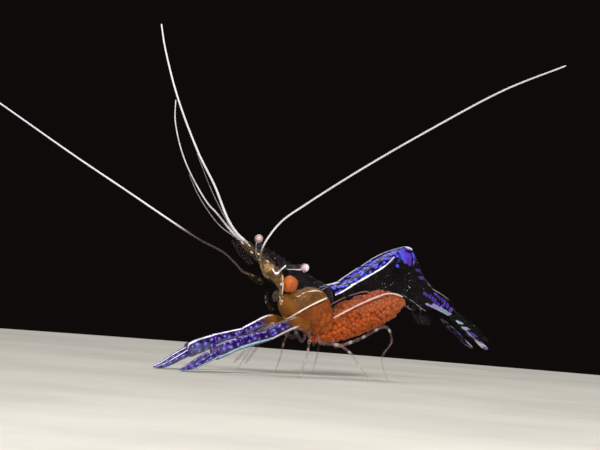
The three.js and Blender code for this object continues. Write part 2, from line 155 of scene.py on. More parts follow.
def newGroup(name, takes, gives):
    group = bpy.data.node_groups.new(name, "ShaderNodeTree")
    for title, kind, value in takes:
        socket = group.interface.new_socket(title, in_out="INPUT", socket_type="NodeSocket" + kind)
        if value is not None:
            socket.default_value = value
    for title, kind in gives:
        group.interface.new_socket(title, in_out="OUTPUT", socket_type="NodeSocket" + kind)
    return group, group.nodes.new("NodeGroupInput").outputs, group.nodes.new("NodeGroupOutput").inputs


def useGroup(tree, group, **wires):
    return addNode(tree, "ShaderNodeGroup", wires, node_tree=group).outputs


def noiseAt(tree, place, scale, detail=3.0):
    wires = {"Vector": place, "Scale": scale, "Detail": detail}
    return addNode(tree, "ShaderNodeTexNoise", wires).outputs["Fac"]


def apart(tree, a, b):
    return maths(tree, "ABSOLUTE", maths(tree, "SUBTRACT", a, b))


def sumOfSquares(tree, a, b):
    return maths(tree, "ADD", bothOf(tree, a, a), bothOf(tree, b, b))


# effects shared by several materials

def makeSpots():  # scattered round pigment spots, each with a paler core
    group, given, out = newGroup(
        "pigmentSpots",
        [("Place", "Vector", None), ("Scale", "Float", 2.0), ("Scatter", "Float", 0.6),
         ("Size", "Float", 0.3), ("Core", "Float", 0.12), ("Edge", "Float", 0.08)],
        [("Spot", "Float"), ("Core", "Float"), ("Pick", "Float")],
    )
    wires = {"Vector": given["Place"], "Scale": given["Scale"], "Randomness": given["Scatter"]}
    cells = addNode(group, "ShaderNodeTexVoronoi", wires, voronoi_dimensions="2D").outputs
    pick = addNode(group, "ShaderNodeSeparateColor", {0: cells["Color"]}).outputs[0]
    size = maths(group, "MULTIPLY_ADD", pick, given["Edge"], given["Size"])
    inner = maths(group, "SUBTRACT", size, given["Edge"])
    coreEdge = maths(group, "ADD", given["Core"], given["Edge"])
    group.links.new(ramp(group, cells["Distance"], inner, size, 1, 0), out["Spot"])
    group.links.new(ramp(group, cells["Distance"], given["Core"], coreEdge, 1, 0), out["Core"])
    group.links.new(pick, out["Pick"])
    return group


def makeStroke():  # a painted line: Offset is the distance from its middle
    group, given, out = newGroup(
        "pigmentStroke",
        [("Place", "Vector", None), ("Offset", "Float", 0.0), ("Width", "Float", 0.06),
         ("Edge", "Float", 0.02), ("Breaks", "Float", 1.5), ("Broken", "Float", 0.0)],
        [("Mask", "Float")],
    )
    waver = noiseAt(group, given["Place"], given["Breaks"], 2.0)
    kept = lerp(group, given["Broken"], 1.0, ramp(group, waver, 0.36, 0.46))
    swell = ramp(group, waver, 0.3, 0.7, 0.75, 1.25)
    width = maths(group, "MULTIPLY", given["Width"], swell)
    outer = maths(group, "ADD", width, given["Edge"])
    line = ramp(group, maths(group, "ABSOLUTE", given["Offset"]), width, outer, 1, 0)
    group.links.new(bothOf(group, line, kept), out["Mask"])
    return group


def makeFlecks():  # fine white specks in the clear shell
    group, given, out = newGroup(
        "whiteFlecks",
        [("Place", "Vector", None), ("Scale", "Float", 5.0),
         ("Share", "Float", 0.3), ("Size", "Float", 0.14)],
        [("Mask", "Float")],
    )
    wires = {"Vector": given["Place"], "Scale": given["Scale"]}
    cells = addNode(group, "ShaderNodeTexVoronoi", wires).outputs
    pick = addNode(group, "ShaderNodeSeparateColor", {0: cells["Color"]}).outputs[1]
    chosen = maths(group, "LESS_THAN", pick, given["Share"])
    dot = ramp(group, cells["Distance"], maths(group, "MULTIPLY", given["Size"], 0.5), given["Size"], 1, 0)
    group.links.new(bothOf(group, chosen, dot), out["Mask"])
    return group


def makeGrain():  # the pitted wet cuticle: Height for a bump, Mottle for slow colour changes
    group, given, out = newGroup(
        "cuticleGrain",
        [("Place", "Vector", None), ("Pits", "Float", 14.0), ("Clouds", "Float", 1.2)],
        [("Height", "Float"), ("Mottle", "Float")],
    )
    wires = {"Vector": given["Place"], "Scale": given["Clouds"], "Detail": 4.0, "Roughness": 0.6}
    clouds = addNode(group, "ShaderNodeTexNoise", wires).outputs["Fac"]
    group.links.new(noiseAt(group, given["Place"], given["Pits"]), out["Height"])
    group.links.new(ramp(group, clouds, 0.3, 0.7), out["Mottle"])
    return group


pigmentSpots = makeSpots()
pigmentStroke = makeStroke()
whiteFlecks = makeFlecks()
cuticleGrain = makeGrain()

tint = {
    "clear": (0.05, 0.05, 0.07, 1),
    "haze": (0.12, 0.10, 0.11, 1),
    "night": (0.015, 0.012, 0.05, 1),
    "mauve": (0.34, 0.22, 0.24, 1),
    "rosy": (0.42, 0.20, 0.18, 1),
    "lilac": (0.55, 0.48, 0.92, 1),
    "brown": (0.23, 0.12, 0.04, 1),
    "oliveDark": (0.11, 0.06, 0.02, 1),
    "rustDark": (0.2, 0.048, 0.005, 1),
    "orangeDark": (0.50, 0.105, 0.015, 1),
    "navy": (0.008, 0.006, 0.035, 1),
    "blue": (0.075, 0.1, 0.82, 1),
    "violet": (0.11, 0.035, 0.50, 1),
    "deepViolet": (0.06, 0.015, 0.26, 1),
    "blueViolet": (0.1, 0.06, 0.55, 1),
    "paleBlue": (0.55, 0.76, 1.0, 1),
    "ice": (0.50, 0.80, 1.0, 1),
    "white": (0.96, 0.96, 0.98, 1),
    "cream": (0.95, 0.80, 0.60, 1),
    "rose": (0.90, 0.62, 0.58, 1),
    "tan": (0.60, 0.36, 0.15, 1),
    "olive": (0.25, 0.108, 0.022, 1),
    "gold": (0.26, 0.09, 0.008, 1),
    "rust": (0.36, 0.09, 0.008, 1),
    "roe": (0.40, 0.085, 0.013, 1),
    "orange": (0.58, 0.145, 0.018, 1),
}


bumpDepth = 0.02  # how deep a full bump is, in millimetres


def newMaterial(name, **constants):
    material = bpy.data.materials.new(name)
    material.use_nodes = True
    tree = material.node_tree
    shader = tree.nodes["Principled BSDF"]
    for socket, value in constants.items():
        shader.inputs[socket.replace("_", " ")].default_value = value
    # place is in millimetres, in the measure that the shapes are drawn in
    coordinates = addNode(tree, "ShaderNodeTexCoord").outputs["Object"]
    wires = {"Vector": coordinates, "Location": -bodyHome / mm, "Scale": (1 / mm,) * 3}
    place = addNode(tree, "ShaderNodeMapping", wires).outputs["Vector"]
    return material, tree, shader, place


def paint(tree, shader, colour, cover=None):  # cover is how solid the paint is, in place of clear shell
    tree.links.new(colour, shader.inputs["Base Color"])
    if cover is not None:
        tree.links.new(cover, shader.inputs["Alpha"])


def coverWith(tree, cover, *marks):  # each mark is a mask and the strength of its paint
    for mask, strength in marks:
        cover = eitherOf(tree, cover, bothOf(tree, mask, strength))
    return cover


def lieMap(tree):  # millimetres along and around the piece
    return addNode(tree, "ShaderNodeUVMap", uv_map="lie").outputs["UV"]


def roundOffset(tree, lie, girth, where):  # how far round a limb a point is from one turn, in millimetres
    turn = maths(tree, "SUBTRACT", maths(tree, "DIVIDE", lie[1], girth), where)
    centred = maths(tree, "SUBTRACT", maths(tree, "FRACT", maths(tree, "ADD", turn, 10.5)), 0.5)
    return maths(tree, "MULTIPLY", centred, girth)


def split(tree, vector):
    return addNode(tree, "ShaderNodeSeparateXYZ", {0: vector}).outputs


def bumpUp(tree, shader, height, strength):
    wires = {"Height": height, "Strength": strength, "Distance": bumpDepth * mm}
    tree.links.new(addNode(tree, "ShaderNodeBump", wires).outputs["Normal"], shader.inputs["Normal"])


def heightLine(tree, ahead, points):  # the height of a drawn line at each place ahead
    low, high = points[0][0], points[-1][0]
    spare = 0.5  # room for the curve above and below its points
    floor = min(z for _, z in points) - spare
    reach = max(z for _, z in points) - floor + spare
    wires = {"Value": ahead, "From Min": low, "From Max": high}
    share = addNode(tree, "ShaderNodeMapRange", wires).outputs[0]
    curve = addNode(tree, "ShaderNodeFloatCurve", {"Value": share})
    line = curve.mapping.curves[0]
    while len(line.points) < len(points):
        line.points.new(0.5, 0.5)
    for spot, (x, z) in zip(line.points, points):
        spot.location = ((x - low) / (high - low), (z - floor) / reach)
    curve.mapping.update()
    return maths(tree, "MULTIPLY_ADD", curve.outputs[0], reach, floor)


def lineMask(tree, place, points, width, broken=0.0, upright=False):  # a stroke that follows points
    fade = 0.12  # the length of its soft ends
    parts = split(tree, place)
    ahead, height = (parts[2], parts[0]) if upright else (parts[0], parts[2])
    offset = maths(tree, "SUBTRACT", height, heightLine(tree, ahead, points))
    mask = stroke(tree, place, offset, width, 0.03, broken)
    starts = ramp(tree, ahead, points[0][0] - fade, points[0][0])
    ends = ramp(tree, ahead, points[-1][0], points[-1][0] + fade, 1, 0)
    return bothOf(tree, mask, bothOf(tree, starts, ends))


def patch(tree, place, centre, reach, ragged=0.3):  # a soft-edged blot on both flanks
    parts = split(tree, place)
    x = maths(tree, "DIVIDE", maths(tree, "SUBTRACT", parts[0], centre[0]), reach[0])
    z = maths(tree, "DIVIDE", maths(tree, "SUBTRACT", parts[2], centre[1]), reach[1])
    away = maths(tree, "SQRT", sumOfSquares(tree, x, z))
    edge = maths(tree, "MULTIPLY_ADD", noiseAt(tree, place, 3.0, 2.0), ragged, away)
    return ramp(tree, edge, 0.75 + ragged / 2, 1.0 + ragged / 2, 1, 0)


def patches(tree, place, blots, ragged, mask=0.0):  # each blot is a centre and a reach
    for centre, reach in blots:
        mask = eitherOf(tree, mask, patch(tree, place, centre, reach, ragged))
    return mask


def alongside(tree, place):  # for lines round the flanks: ahead grows with the distance from the middle
    parts = split(tree, place)
    ahead = maths(tree, "ADD", parts[0], maths(tree, "ABSOLUTE", parts[1]))
    return addNode(tree, "ShaderNodeCombineXYZ", {0: ahead, 1: parts[1], 2: parts[2]}).outputs[0]


def stroke(tree, place, offset, width, edge, broken):
    wires = {"Place": place, "Offset": offset, "Width": width, "Edge": edge, "Broken": broken}
    return useGroup(tree, pigmentStroke, **wires)[0]


def grainAt(tree, place, pits, clouds):
    return useGroup(tree, cuticleGrain, Place=place, Pits=pits, Clouds=clouds)


def squeeze(tree, place, scale):
    return addNode(tree, "ShaderNodeMapping", {"Vector": place, "Scale": scale}).outputs["Vector"]


def wobbled(tree, place, scale, amount):  # the same place, pushed about by a slow noise
    wires = {"Vector": place, "Scale": scale, "Detail": 1.0}
    wires = {0: addNode(tree, "ShaderNodeTexNoise", wires).outputs["Color"], 1: (0.5, 0.5, 0.5)}
    centred = addNode(tree, "ShaderNodeVectorMath", wires, operation="SUBTRACT").outputs[0]
    wires = {0: centred, 1: (amount, amount, amount), 2: place}
    return addNode(tree, "ShaderNodeVectorMath", wires, operation="MULTIPLY_ADD").outputs[0]


# shapes

def alongRoute(points, share):  # the place at a share of a smooth line through the points
    spots = [Vector(p) for p in points]
    spots = [spots[0] * 2 - spots[1]] + spots + [spots[-1] * 2 - spots[-2]]
    along = held(share) * (len(points) - 1)
    k = min(int(along), len(points) - 2)
    t = along - k
    p0, p1, p2, p3 = spots[k:k + 4]
    d0, d1, d2 = [max((b - a).length, 1e-6) ** 0.5 for a, b in ((p0, p1), (p1, p2), (p2, p3))]
    start = ((p1 - p0) / d0 - (p2 - p0) / (d0 + d1) + (p2 - p1) / d1) * d1
    end = ((p2 - p1) / d1 - (p3 - p1) / (d1 + d2) + (p3 - p2) / d2) * d1
    bend = (p2 - p1) * 3 - start * 2 - end
    return p1 + start * t + bend * t * t + ((p1 - p2) * 2 + start + end) * t * t * t


def between(values, share, eased=False):
    along = held(share) * (len(values) - 1)
    k = min(int(along), len(values) - 2)
    t = along - k
    if eased:
        t = t * t * (3 - 2 * t)
    return values[k] + (values[k + 1] - values[k]) * t


def bell(value, centre, wide):
    return exp(-((value - centre) / wide) ** 2)


def held(value, low=0, high=1):
    return min(max(value, low), high)


def rounded(near, least=0.02):  # the width of a round end: near is 0 at its tip and 1 where it is full
    return sqrt(max(least, 1 - (1 - min(near, 1)) ** 2))


def mirrored(path, side):
    return [(x, y * side, z) for x, y, z in path]


def newShape():
    shape = bmesh.new()
    for layer in ("along", "around"):
        shape.verts.layers.float.new(layer)
    return shape


def mark(shape, vert, along, around):
    vert[shape.verts.layers.float["along"]] = along
    vert[shape.verts.layers.float["around"]] = around


def layFlat(shape, girth):  # the lie map: along in x, around in y, its seam carried past one turn
    along = shape.verts.layers.float["along"]
    around = shape.verts.layers.float["around"]
    lie = shape.loops.layers.uv.new("lie")
    for face in shape.faces:
        turns = [loop.vert[around] for loop in face.loops]
        wraps = girth and max(turns) - min(turns) > 0.5
        for loop in face.loops:
            turn = loop.vert[around] + (1 if wraps and loop.vert[around] < 0.5 else 0)
            loop[lie].uv = (loop.vert[along], turn * (girth or 1))


def drawTube(shape, stations, segments=16, outward=(0, -1, 0), rise=(0, 0, 1), start=0.0):
    # a closed round skin drawn out ring by ring: each station is its middle and its two radii
    middles = [Vector(station[0]) for station in stations]
    last = len(middles) - 1
    heading = (middles[1] - middles[0]).normalized()
    up = Vector(rise)
    flip = copysign(1, heading.cross(up).dot(Vector(outward)) + 1e-9)
    ring = bmesh.ops.create_circle(shape, cap_ends=True, radius=1, segments=segments)["verts"]
    gone = start
    for k, (_, wide, high) in enumerate(stations):
        if k:
            edges = [shape.edges.get((ring[j - 1], ring[j])) for j in range(segments)]
            drawn = bmesh.ops.extrude_edge_only(shape, edges=edges)["geom"]
            fresh = {item for item in drawn if isinstance(item, bmesh.types.BMVert)}
            ring = [next(e.other_vert(v) for e in v.link_edges if e.other_vert(v) in fresh) for v in ring]
            gone += (middles[k] - middles[k - 1]).length
            heading = (middles[min(k + 1, last)] - middles[k - 1]).normalized()
        up = (up - heading * up.dot(heading)).normalized()
        side = heading.cross(up) * flip
        for j, vert in enumerate(ring):
            turn = j / segments  # 0 below, a quarter on the inner side, a half on top
            swing = tau * (turn + 0.5)
            vert.co = middles[k] + side * sin(swing) * wide + up * cos(swing) * high
            mark(shape, vert, gone, turn)
    edges = [shape.edges.get((ring[j - 1], ring[j])) for j in range(segments)]
    bmesh.ops.contextual_create(shape, geom=edges)


def drawSheet(shape, lengthwise, crosswise, place, facing):  # a grid laid out by place(u, v)
    grid = bmesh.ops.create_grid(shape, x_segments=lengthwise, y_segments=crosswise, size=0.5)["verts"]
    for vert in grid:
        spot, along, around = place(vert.co.x + 0.5, vert.co.y + 0.5)
        vert.co = spot
        mark(shape, vert, along, around)
    faces = list({face for vert in grid for face in vert.link_faces})
    for face in faces:
        face.normal_update()
    if sum(face.normal.dot(facing(face.calc_center_median())) for face in faces) < 0:
        bmesh.ops.reverse_faces(shape, faces=faces)


def drawSpike(shape, root, tip, radius, segments=4, along=0.0):  # a fine hair or spine
    root, tip = Vector(root), Vector(tip)
    turn = (tip - root).to_track_quat("Z", "Y").to_matrix().to_4x4()
    made = bmesh.ops.create_cone(
        shape, cap_ends=True, segments=segments, radius1=radius, radius2=radius * 0.2,
        depth=(tip - root).length, matrix=Matrix.Translation((root + tip) / 2) @ turn,
    )["verts"]
    for vert in made:
        mark(shape, vert, along, 0)


def drawBall(shape, centre, radius, stretch=(1, 1, 1)):
    placed = Matrix.Translation(centre) @ Matrix.Diagonal((*stretch, 1))
    return bmesh.ops.create_icosphere(shape, subdivisions=4, radius=radius, matrix=placed)["verts"]


def finishPiece(name, shape, material, stands=(), girth=0.0, wall=0.0, closed=True):
    # stands names the solids that this piece takes the place of
    if closed:
        bmesh.ops.remove_doubles(shape, verts=shape.verts, dist=1e-5)
        bmesh.ops.recalc_face_normals(shape, faces=shape.faces)
    layFlat(shape, girth)
    shape.transform(toFrame)
    mesh = bpy.data.meshes.new(name)
    shape.to_mesh(mesh)
    shape.free()
    mesh.shade_smooth()
    mesh.materials.append(material)
    piece = bpy.data.objects.new(name, mesh)
    scene.collection.objects.link(piece)
    if wall:
        shell = piece.modifiers.new("wall", "SOLIDIFY")
        shell.thickness = wall * mm
        shell.offset = -1
    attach(piece, "root")
    if stands:
        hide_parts(*stands)


leastEnd = 0.12  # a limb's end is drawn in to this share of its width
hairRadius = 0.012
knotReach = 0.09  # how far a swelling spreads, as a share of a segment


def limbStations(path, widths, steps=32, flat=1.0, knots=0.0, blunt=1.0):
    # rounded at both ends and swollen at the joints; a low blunt keeps the ends wide
    spots = [alongRoute(path, k / steps) for k in range(steps + 1)]
    gone = [0]
    for k in range(steps):
        gone.append(gone[-1] + (spots[k + 1] - spots[k]).length)
    stations = []
    for k, spot in enumerate(spots):
        radius = between(widths, k / steps) / 2
        joint = k / steps * (len(path) - 1)
        radius *= 1 + knots * bell(joint, round(joint), knotReach)
        radius *= max(leastEnd, rounded(min(gone[k], gone[-1] - gone[k]) / (radius * blunt), 0))
        stations.append((spot, radius, radius * flat))
    return stations


def coreStations(sections, steps, endShare, eased=False):
    # each section is ahead, height, half width and half height; endShare of the length is round at each end
    route = [(x, 0, z) for x, z, _, _ in sections]
    halves = [section[2:] for section in sections]
    stations = []
    for k in range(steps + 1):
        share = k / steps
        cap = rounded(min(share, 1 - share) / endShare)
        wide, high = (between([half[n] for half in halves], share, eased) * cap for n in (0, 1))
        stations.append((alongRoute(route, share), wide, high))
    return stations


def drawLimb(shape, path, widths, segments=14, outward=(0, -1, 0), start=0.0, **shaping):
    drawTube(shape, limbStations(path, widths, **shaping), segments, outward, start=start)


def girthOf(widths):
    return pi * sum(widths) / len(widths)


def makeLimb(name, path, widths, material, slot, stands, segments=14, outward=(0, -1, 0), **shaping):
    shape = newShape()
    drawLimb(shape, path, widths, segments, outward, **shaping)
    finishPiece(name, shape, material, stands, girth=girthOf(widths))


def makeSheen(name, colours, alpha, rough=0.3, clouds=1.2, pits=10.0, bump=0.3, flecks=0.0, **constants):
    # a mottled see-through finish, with white flecks where asked
    material, tree, shader, place = newMaterial(name, Roughness=rough, IOR=1.4, **constants)
    grain = grainAt(tree, place, pits, clouds)
    colour = blend(tree, grain["Mottle"], *colours)
    cover = lerp(tree, grain["Mottle"], *alpha)
    if flecks:
        dots = useGroup(tree, whiteFlecks, Place=place, Scale=4.5, Share=flecks, Size=0.16)[0]
        colour = blend(tree, dots, colour, tint["white"])
        cover = eitherOf(tree, cover, bothOf(tree, dots, 0.75))
    paint(tree, shader, colour, cover if min(alpha) < 1 else None)
    shine = ramp(tree, grain["Height"], 0.3, 0.7, rough * 0.7, rough * 1.3)
    tree.links.new(shine, shader.inputs["Roughness"])
    bumpUp(tree, shader, grain["Height"], bump)
    return material, tree, shader, place, colour, cover


# floor

floorSet = {
    "radius": 90, "middle": (-18, -18), "thick": 2, "bevel": 0.6,
    "dark": (0.52, 0.50, 0.45, 1), "pale": (0.62, 0.60, 0.54, 1),
}


def addFloor(setup):
    shape = bmesh.new()
    bmesh.ops.create_cone(
        shape, cap_ends=True, segments=160, radius1=setup["radius"], radius2=setup["radius"],
        depth=setup["thick"], matrix=Matrix.Translation((*setup["middle"], -setup["thick"] / 2)),
    )
    rim = [e for e in shape.edges if abs(e.verts[0].co.z) < 1e-4 and abs(e.verts[1].co.z) < 1e-4]
    bmesh.ops.bevel(
        shape, geom=rim, offset=setup["bevel"], segments=3, affect="EDGES", profile=0.5, material=-1
    )
    shape.transform(toFrame)
    mesh = bpy.data.meshes.new("floor")
    shape.to_mesh(mesh)
    shape.free()
    material, tree, shader, place = newMaterial("paleFloor", Roughness=0.8)
    grain = grainAt(tree, place, 5.0, 0.06)
    paint(tree, shader, blend(tree, grain["Mottle"], setup["dark"], setup["pale"]))
    bumpUp(tree, shader, grain["Height"], 0.15)
    mesh.materials.append(material)
    floor = bpy.data.objects.new("floor", mesh)
    scene.collection.objects.link(floor)


addFloor(floorSet)
print("floor laid")


# the carapace: a clear shield over head and chest, open below, with the toothed beak

carapace = {
    "back": [(-4.85, 7.42), (-4.2, 7.34), (-2.95, 7.0), (-1.65, 6.56), (-0.45, 6.17)],
    "belly": [(-4.28, 4.5), (-3.65, 3.5), (-2.6, 2.85), (-1.6, 2.6), (-0.75, 2.72)],
    "halfWidth": [0.78, 1.02, 1.22, 1.26, 1.16],
    "lowEdge": [100, 128, 146, 150, 136],  # how far round from the back the shield reaches, in degrees
    "inset": 0.02,
    "wall": 0.05,
    "inside": (-2.8, 0, 5),  # the skin faces away from here
    "notches": [  # in the front edge, at degrees from the back: the eye socket, and a spine that stands out
        {"at": 48, "wide": 15, "deep": 0.3, "reach": 0.14},
        {"at": 78, "wide": 7, "deep": -0.3, "reach": 0.06},
    ],
    "length": 4.6, "halfGirth": 3.4,  # of the lie map
    "sideLine": [(-4.9, 3.12), (-4.44, 3.33), (-3.02, 4.02), (-2.01, 4.51), (-1.2, 4.86), (-0.21, 5.24)],
}
beak = {
    "back": [(-3.0, 6.99), (-4.9, 7.72), (-7.05, 8.55)], "thick": 0.12, "length": 5,
    "keel": (-4.75, 7.1), "free": 0.35,  # the keel leaves the shield at this share of the back
    "root": {"deep": 0.04, "slope": 0.5},
    "upper": {"teeth": 8, "size": 0.15, "reach": (0.04, 0.97), "hook": 1.6, "lean": 0.5},
    "lower": {"teeth": 8, "size": 0.07, "reach": (0.6, 0.86), "wide": 0.22},
}


def trunkSpot(part, share, turn, inset=0.0):
    # a place on the outline: turn is in radians from the back, and square says how full the corners are
    top = alongRoute(part["back"], share)
    bottom = alongRoute(part["belly"], share)
    middle = (top + bottom) / 2
    rise = (top - bottom) / 2
    square = part.get("square", 0.9)
    high = abs(cos(turn)) ** (square if cos(turn) > 0 and "square" in part else 1)
    lift = rise.normalized() * (rise.length - inset) * copysign(high, cos(turn))
    wide = (between(part["halfWidth"], share, eased=True) - inset) * abs(sin(turn)) ** square
    return Vector((middle.x + lift.x, copysign(wide, sin(turn)), middle.y + lift.y))


def carapaceMaterial():
    material, tree, shader, place, colour, cover = makeSheen(
        "clearShield", [tint["clear"], tint["haze"]], [0.025, 0.055], rough=0.14, flecks=0.06,
        Specular_IOR_Level=0.6,
    )
    line = lineMask(tree, alongside(tree, place), carapace["sideLine"], 0.045)
    parts = split(tree, place)
    rear = bothOf(tree, ramp(tree, parts[0], -1.3, -0.8), ramp(tree, parts[2], 4.9, 5.3))
    cover = maths(tree, "MULTIPLY_ADD", rear, 0.1, cover)
    paint(tree, shader, blend(tree, line, colour, tint["cream"]), eitherOf(tree, cover, line))
    return material


def beakSpot(side, u, v):
    upper, lower, root = beak["upper"], beak["lower"], beak["root"]
    top = alongRoute(beak["back"], u)
    low = top - Vector((0, root["deep"] + root["slope"] * u))
    if u >= beak["free"]:
        low = Vector(beak["keel"]).lerp(Vector(beak["back"][-1]), (u - beak["free"]) / (1 - beak["free"]))
    tooth = nip = 0
    if upper["reach"][0] < u < upper["reach"][1]:
        tooth = upper["size"] * (u * upper["teeth"] % 1) ** upper["hook"] * v ** 4
    if lower["reach"][0] < u < lower["reach"][1]:
        nip = lower["size"] * bell(u * lower["teeth"] % 1, 0.5, lower["wide"]) * (1 - v) ** 4
    spot = low + (top - low) * v
    half = beak["thick"] / 2 * (1.02 - u) ** 0.35 * (1 - (2 * v - 1) ** 4 * 0.95)  # thin at the tip and edges
    return Vector((spot.x - tooth * upper["lean"], side * half, spot.y + tooth - nip)), u * beak["length"], v


def addBeak(shape):
    for side in sides.values():
        drawSheet(shape, 160, 8, lambda u, v: beakSpot(side, u, v), lambda middle: Vector((0, side, 0)))


def makeCarapace():
    shape = newShape()

    def place(u, v):
        signed = 2 * v - 1
        degrees = abs(signed) * between(carapace["lowEdge"], u, eased=True)
        spot = trunkSpot(carapace, u, copysign(radians(degrees), signed), carapace["inset"])
        for notch in carapace["notches"]:
            deep = notch["deep"] * bell(degrees, notch["at"], notch["wide"])
            spot.x += deep * max(0, 1 - u / notch["reach"])
        return spot, carapace["length"] * u, carapace["halfGirth"] * signed

    drawSheet(shape, 60, 84, place, lambda middle: middle - Vector(carapace["inside"]))
    addBeak(shape)
    finishPiece(
        "shield", shape, carapaceMaterial(), ["carapace"], wall=carapace["wall"], closed=False
    )


makeCarapace()
print("carapace and beak made")


# what shows through the carapace: the orange stomach, and the olive and rust organs of the chest

organs = {
    # ahead, low, high, half width
    "chest": [
        (-4.36, 4.75, 5.3, 0.26), (-4.2, 4.45, 5.42, 0.4), (-3.9, 4.05, 5.44, 0.62),
        (-3.5, 3.68, 5.4, 0.82), (-3.19, 3.42, 5.5, 0.94), (-2.7, 3.15, 5.7, 1.04),
        (-2.1, 2.92, 5.86, 1.09), (-1.5, 2.76, 5.9, 1.06), (-1.12, 2.66, 5.5, 1.0),
        (-0.8, 2.6, 4.95, 0.94), (-0.45, 2.55, 4.45, 0.86), (-0.05, 2.55, 3.95, 0.76),
        (0.35, 2.6, 3.6, 0.6),
    ],
    "stomach": {"centre": (-3.7, 0, 5.97), "radii": (0.54, 0.49, 0.57), "ripple": 2.5, "high": 0.1},
    "steps": 110, "segments": 96, "ends": 0.1, "axis": 4.2,
    "ripples": {"scale": 2.2, "high": 0.05},
    "lumps": {  # the foremost eggs swell the rear of the chest, below the side line
        "from": -2.7, "fade": 1.3, "size": 0.36, "high": 0.3, "crown": 0.4,
        "line": (-4.9, 4.7), "below": 0.35, "edge": 0.5,
    },
    "girth": 5, "topLine": {"off": 0.42, "reach": (-3.5, -1.0)},
}


head = {
    # ahead, height, half width, half height
    "core": [(-4.45, 5.05, 0.1, 0.12), (-4.47, 5.5, 0.13, 0.15), (-4.58, 5.92, 0.24, 0.24),
             (-4.86, 6.3, 0.4, 0.36), (-5.25, 6.6, 0.52, 0.43), (-5.7, 6.85, 0.5, 0.38),
             (-6.1, 7.02, 0.4, 0.3), (-6.45, 7.16, 0.28, 0.2)],
    "bridle": [(-5.36, 6.84), (-4.99, 6.6), (-4.6, 6.86), (-4.25, 7.12)],
    "cheekLine": [(5.3, -4.3), (5.9, -4.33), (6.45, -4.42)],
    "snout": [((-6.05, 7.02), (0.36, 0.22)), ((-6.2, 6.7), (0.28, 0.2))],
    "axis": 6.3, "ripple": 3, "high": 0.07,
    "spots": [((-4.3, 5.16), (0.09, 0.08)), ((-4.3, 4.84), (0.1, 0.08)), ((-4.5, 5.93), (0.12, 0.1))],
}


def chestMaterial():  # olive above the side line and rust below it, finely freckled
    material, tree, shader, place, colour, cover = makeSheen(
        "chestOrgans", [tint["olive"], tint["oliveDark"]], [0.95, 0.8], rough=0.6, clouds=1.6, pits=9,
        bump=1.0, Specular_IOR_Level=0.15,
    )
    ahead = split(tree, place)[0]
    flank = alongside(tree, place)
    parts = split(tree, flank)
    line = heightLine(tree, parts[0], carapace["sideLine"])
    below = ramp(tree, maths(tree, "SUBTRACT", parts[2], line), -0.5, 0.35, 1, 0)
    cloud = ramp(tree, noiseAt(tree, place, 1.4), 0.35, 0.65)
    rust = blend(tree, cloud, tint["rust"], tint["rustDark"])
    rust = blend(tree, ramp(tree, ahead, -2.6, -1.4), rust, tint["roe"])
    gold = ramp(tree, parts[0], -3.6, -2.4, 1, 0)  # warmer towards the mouth
    colour = blend(tree, bothOf(tree, gold, 0.7), colour, tint["gold"])
    colour = blend(tree, below, colour, rust)
    grit = ramp(tree, noiseAt(tree, place, 9.0, 4.0), 0.48, 0.6, 0, 0.7)
    colour = blend(tree, grit, colour, tint["rustDark"])
    glints = useGroup(tree, whiteFlecks, Place=place, Scale=7.0, Share=0.35, Size=0.34)[0]
    glintColour = blend(tree, below, tint["gold"], tint["orange"])
    colour = blend(tree, bothOf(tree, glints, 0.7), colour, glintColour)
    top = roundOffset(tree, split(tree, lieMap(tree)), organs["girth"], 0.5)
    offset = maths(tree, "SUBTRACT", maths(tree, "ABSOLUTE", top), organs["topLine"]["off"])
    rim = stroke(tree, place, offset, 0.025, 0.02, 1.0)
    start, end = organs["topLine"]["reach"]
    reach = bothOf(tree, ramp(tree, ahead, start, start + 0.2), ramp(tree, ahead, end - 0.2, end, 1, 0))
    rim = bothOf(tree, rim, reach)
    rim = eitherOf(tree, rim, lineMask(tree, flank, carapace["sideLine"], 0.045))
    rim = patches(tree, flank, head["spots"][:2], 0.1, rim)
    paint(tree, shader, blend(tree, rim, colour, tint["cream"]))
    return material


def makeChest():
    shape = newShape()
    sections = [(x, (low + high) / 2, half, (high - low) / 2) for x, low, high, half in organs["chest"]]
    drawTube(shape, coreStations(sections, organs["steps"], organs["ends"]), organs["segments"])
    lumps, ripples = organs["lumps"], organs["ripples"]
    for vert in shape.verts:
        x, y, z = vert.co
        start, length = lumps["line"]
        line = alongRoute(carapace["sideLine"], (x + abs(y) - start) / length).y
        share = held((x - lumps["from"]) / lumps["fade"]) * held((line - lumps["below"] - z) / lumps["edge"])
        out = Vector((0, y, z - organs["axis"])).normalized()
        nearest = noise.voronoi(vert.co / lumps["size"])[0][0]
        swell = share * lumps["high"] * (lumps["crown"] - nearest)
        vert.co += out * (noise.noise(vert.co * ripples["scale"]) * ripples["high"] + swell)
    finishPiece("chest_organs", shape, chestMaterial(), girth=organs["girth"])


def makeStomach():
    shape = newShape()
    setup = organs["stomach"]
    for vert in drawBall(shape, setup["centre"], 1, setup["radii"]):
        out = vert.co - Vector(setup["centre"])
        vert.co += out * noise.noise(vert.co * setup["ripple"]) * setup["high"]
    material = makeSheen(
        "stomach", [tint["orange"], tint["orangeDark"]], [1, 1], rough=0.4, clouds=2.2, pits=16, bump=0.5,
        Specular_IOR_Level=0.25,
    )[0]
    finishPiece("stomach", shape, material)


makeChest()
makeStomach()
print("organs made")


# the six rings of the abdomen, each a thin arch that slides under the one before, with its side flap

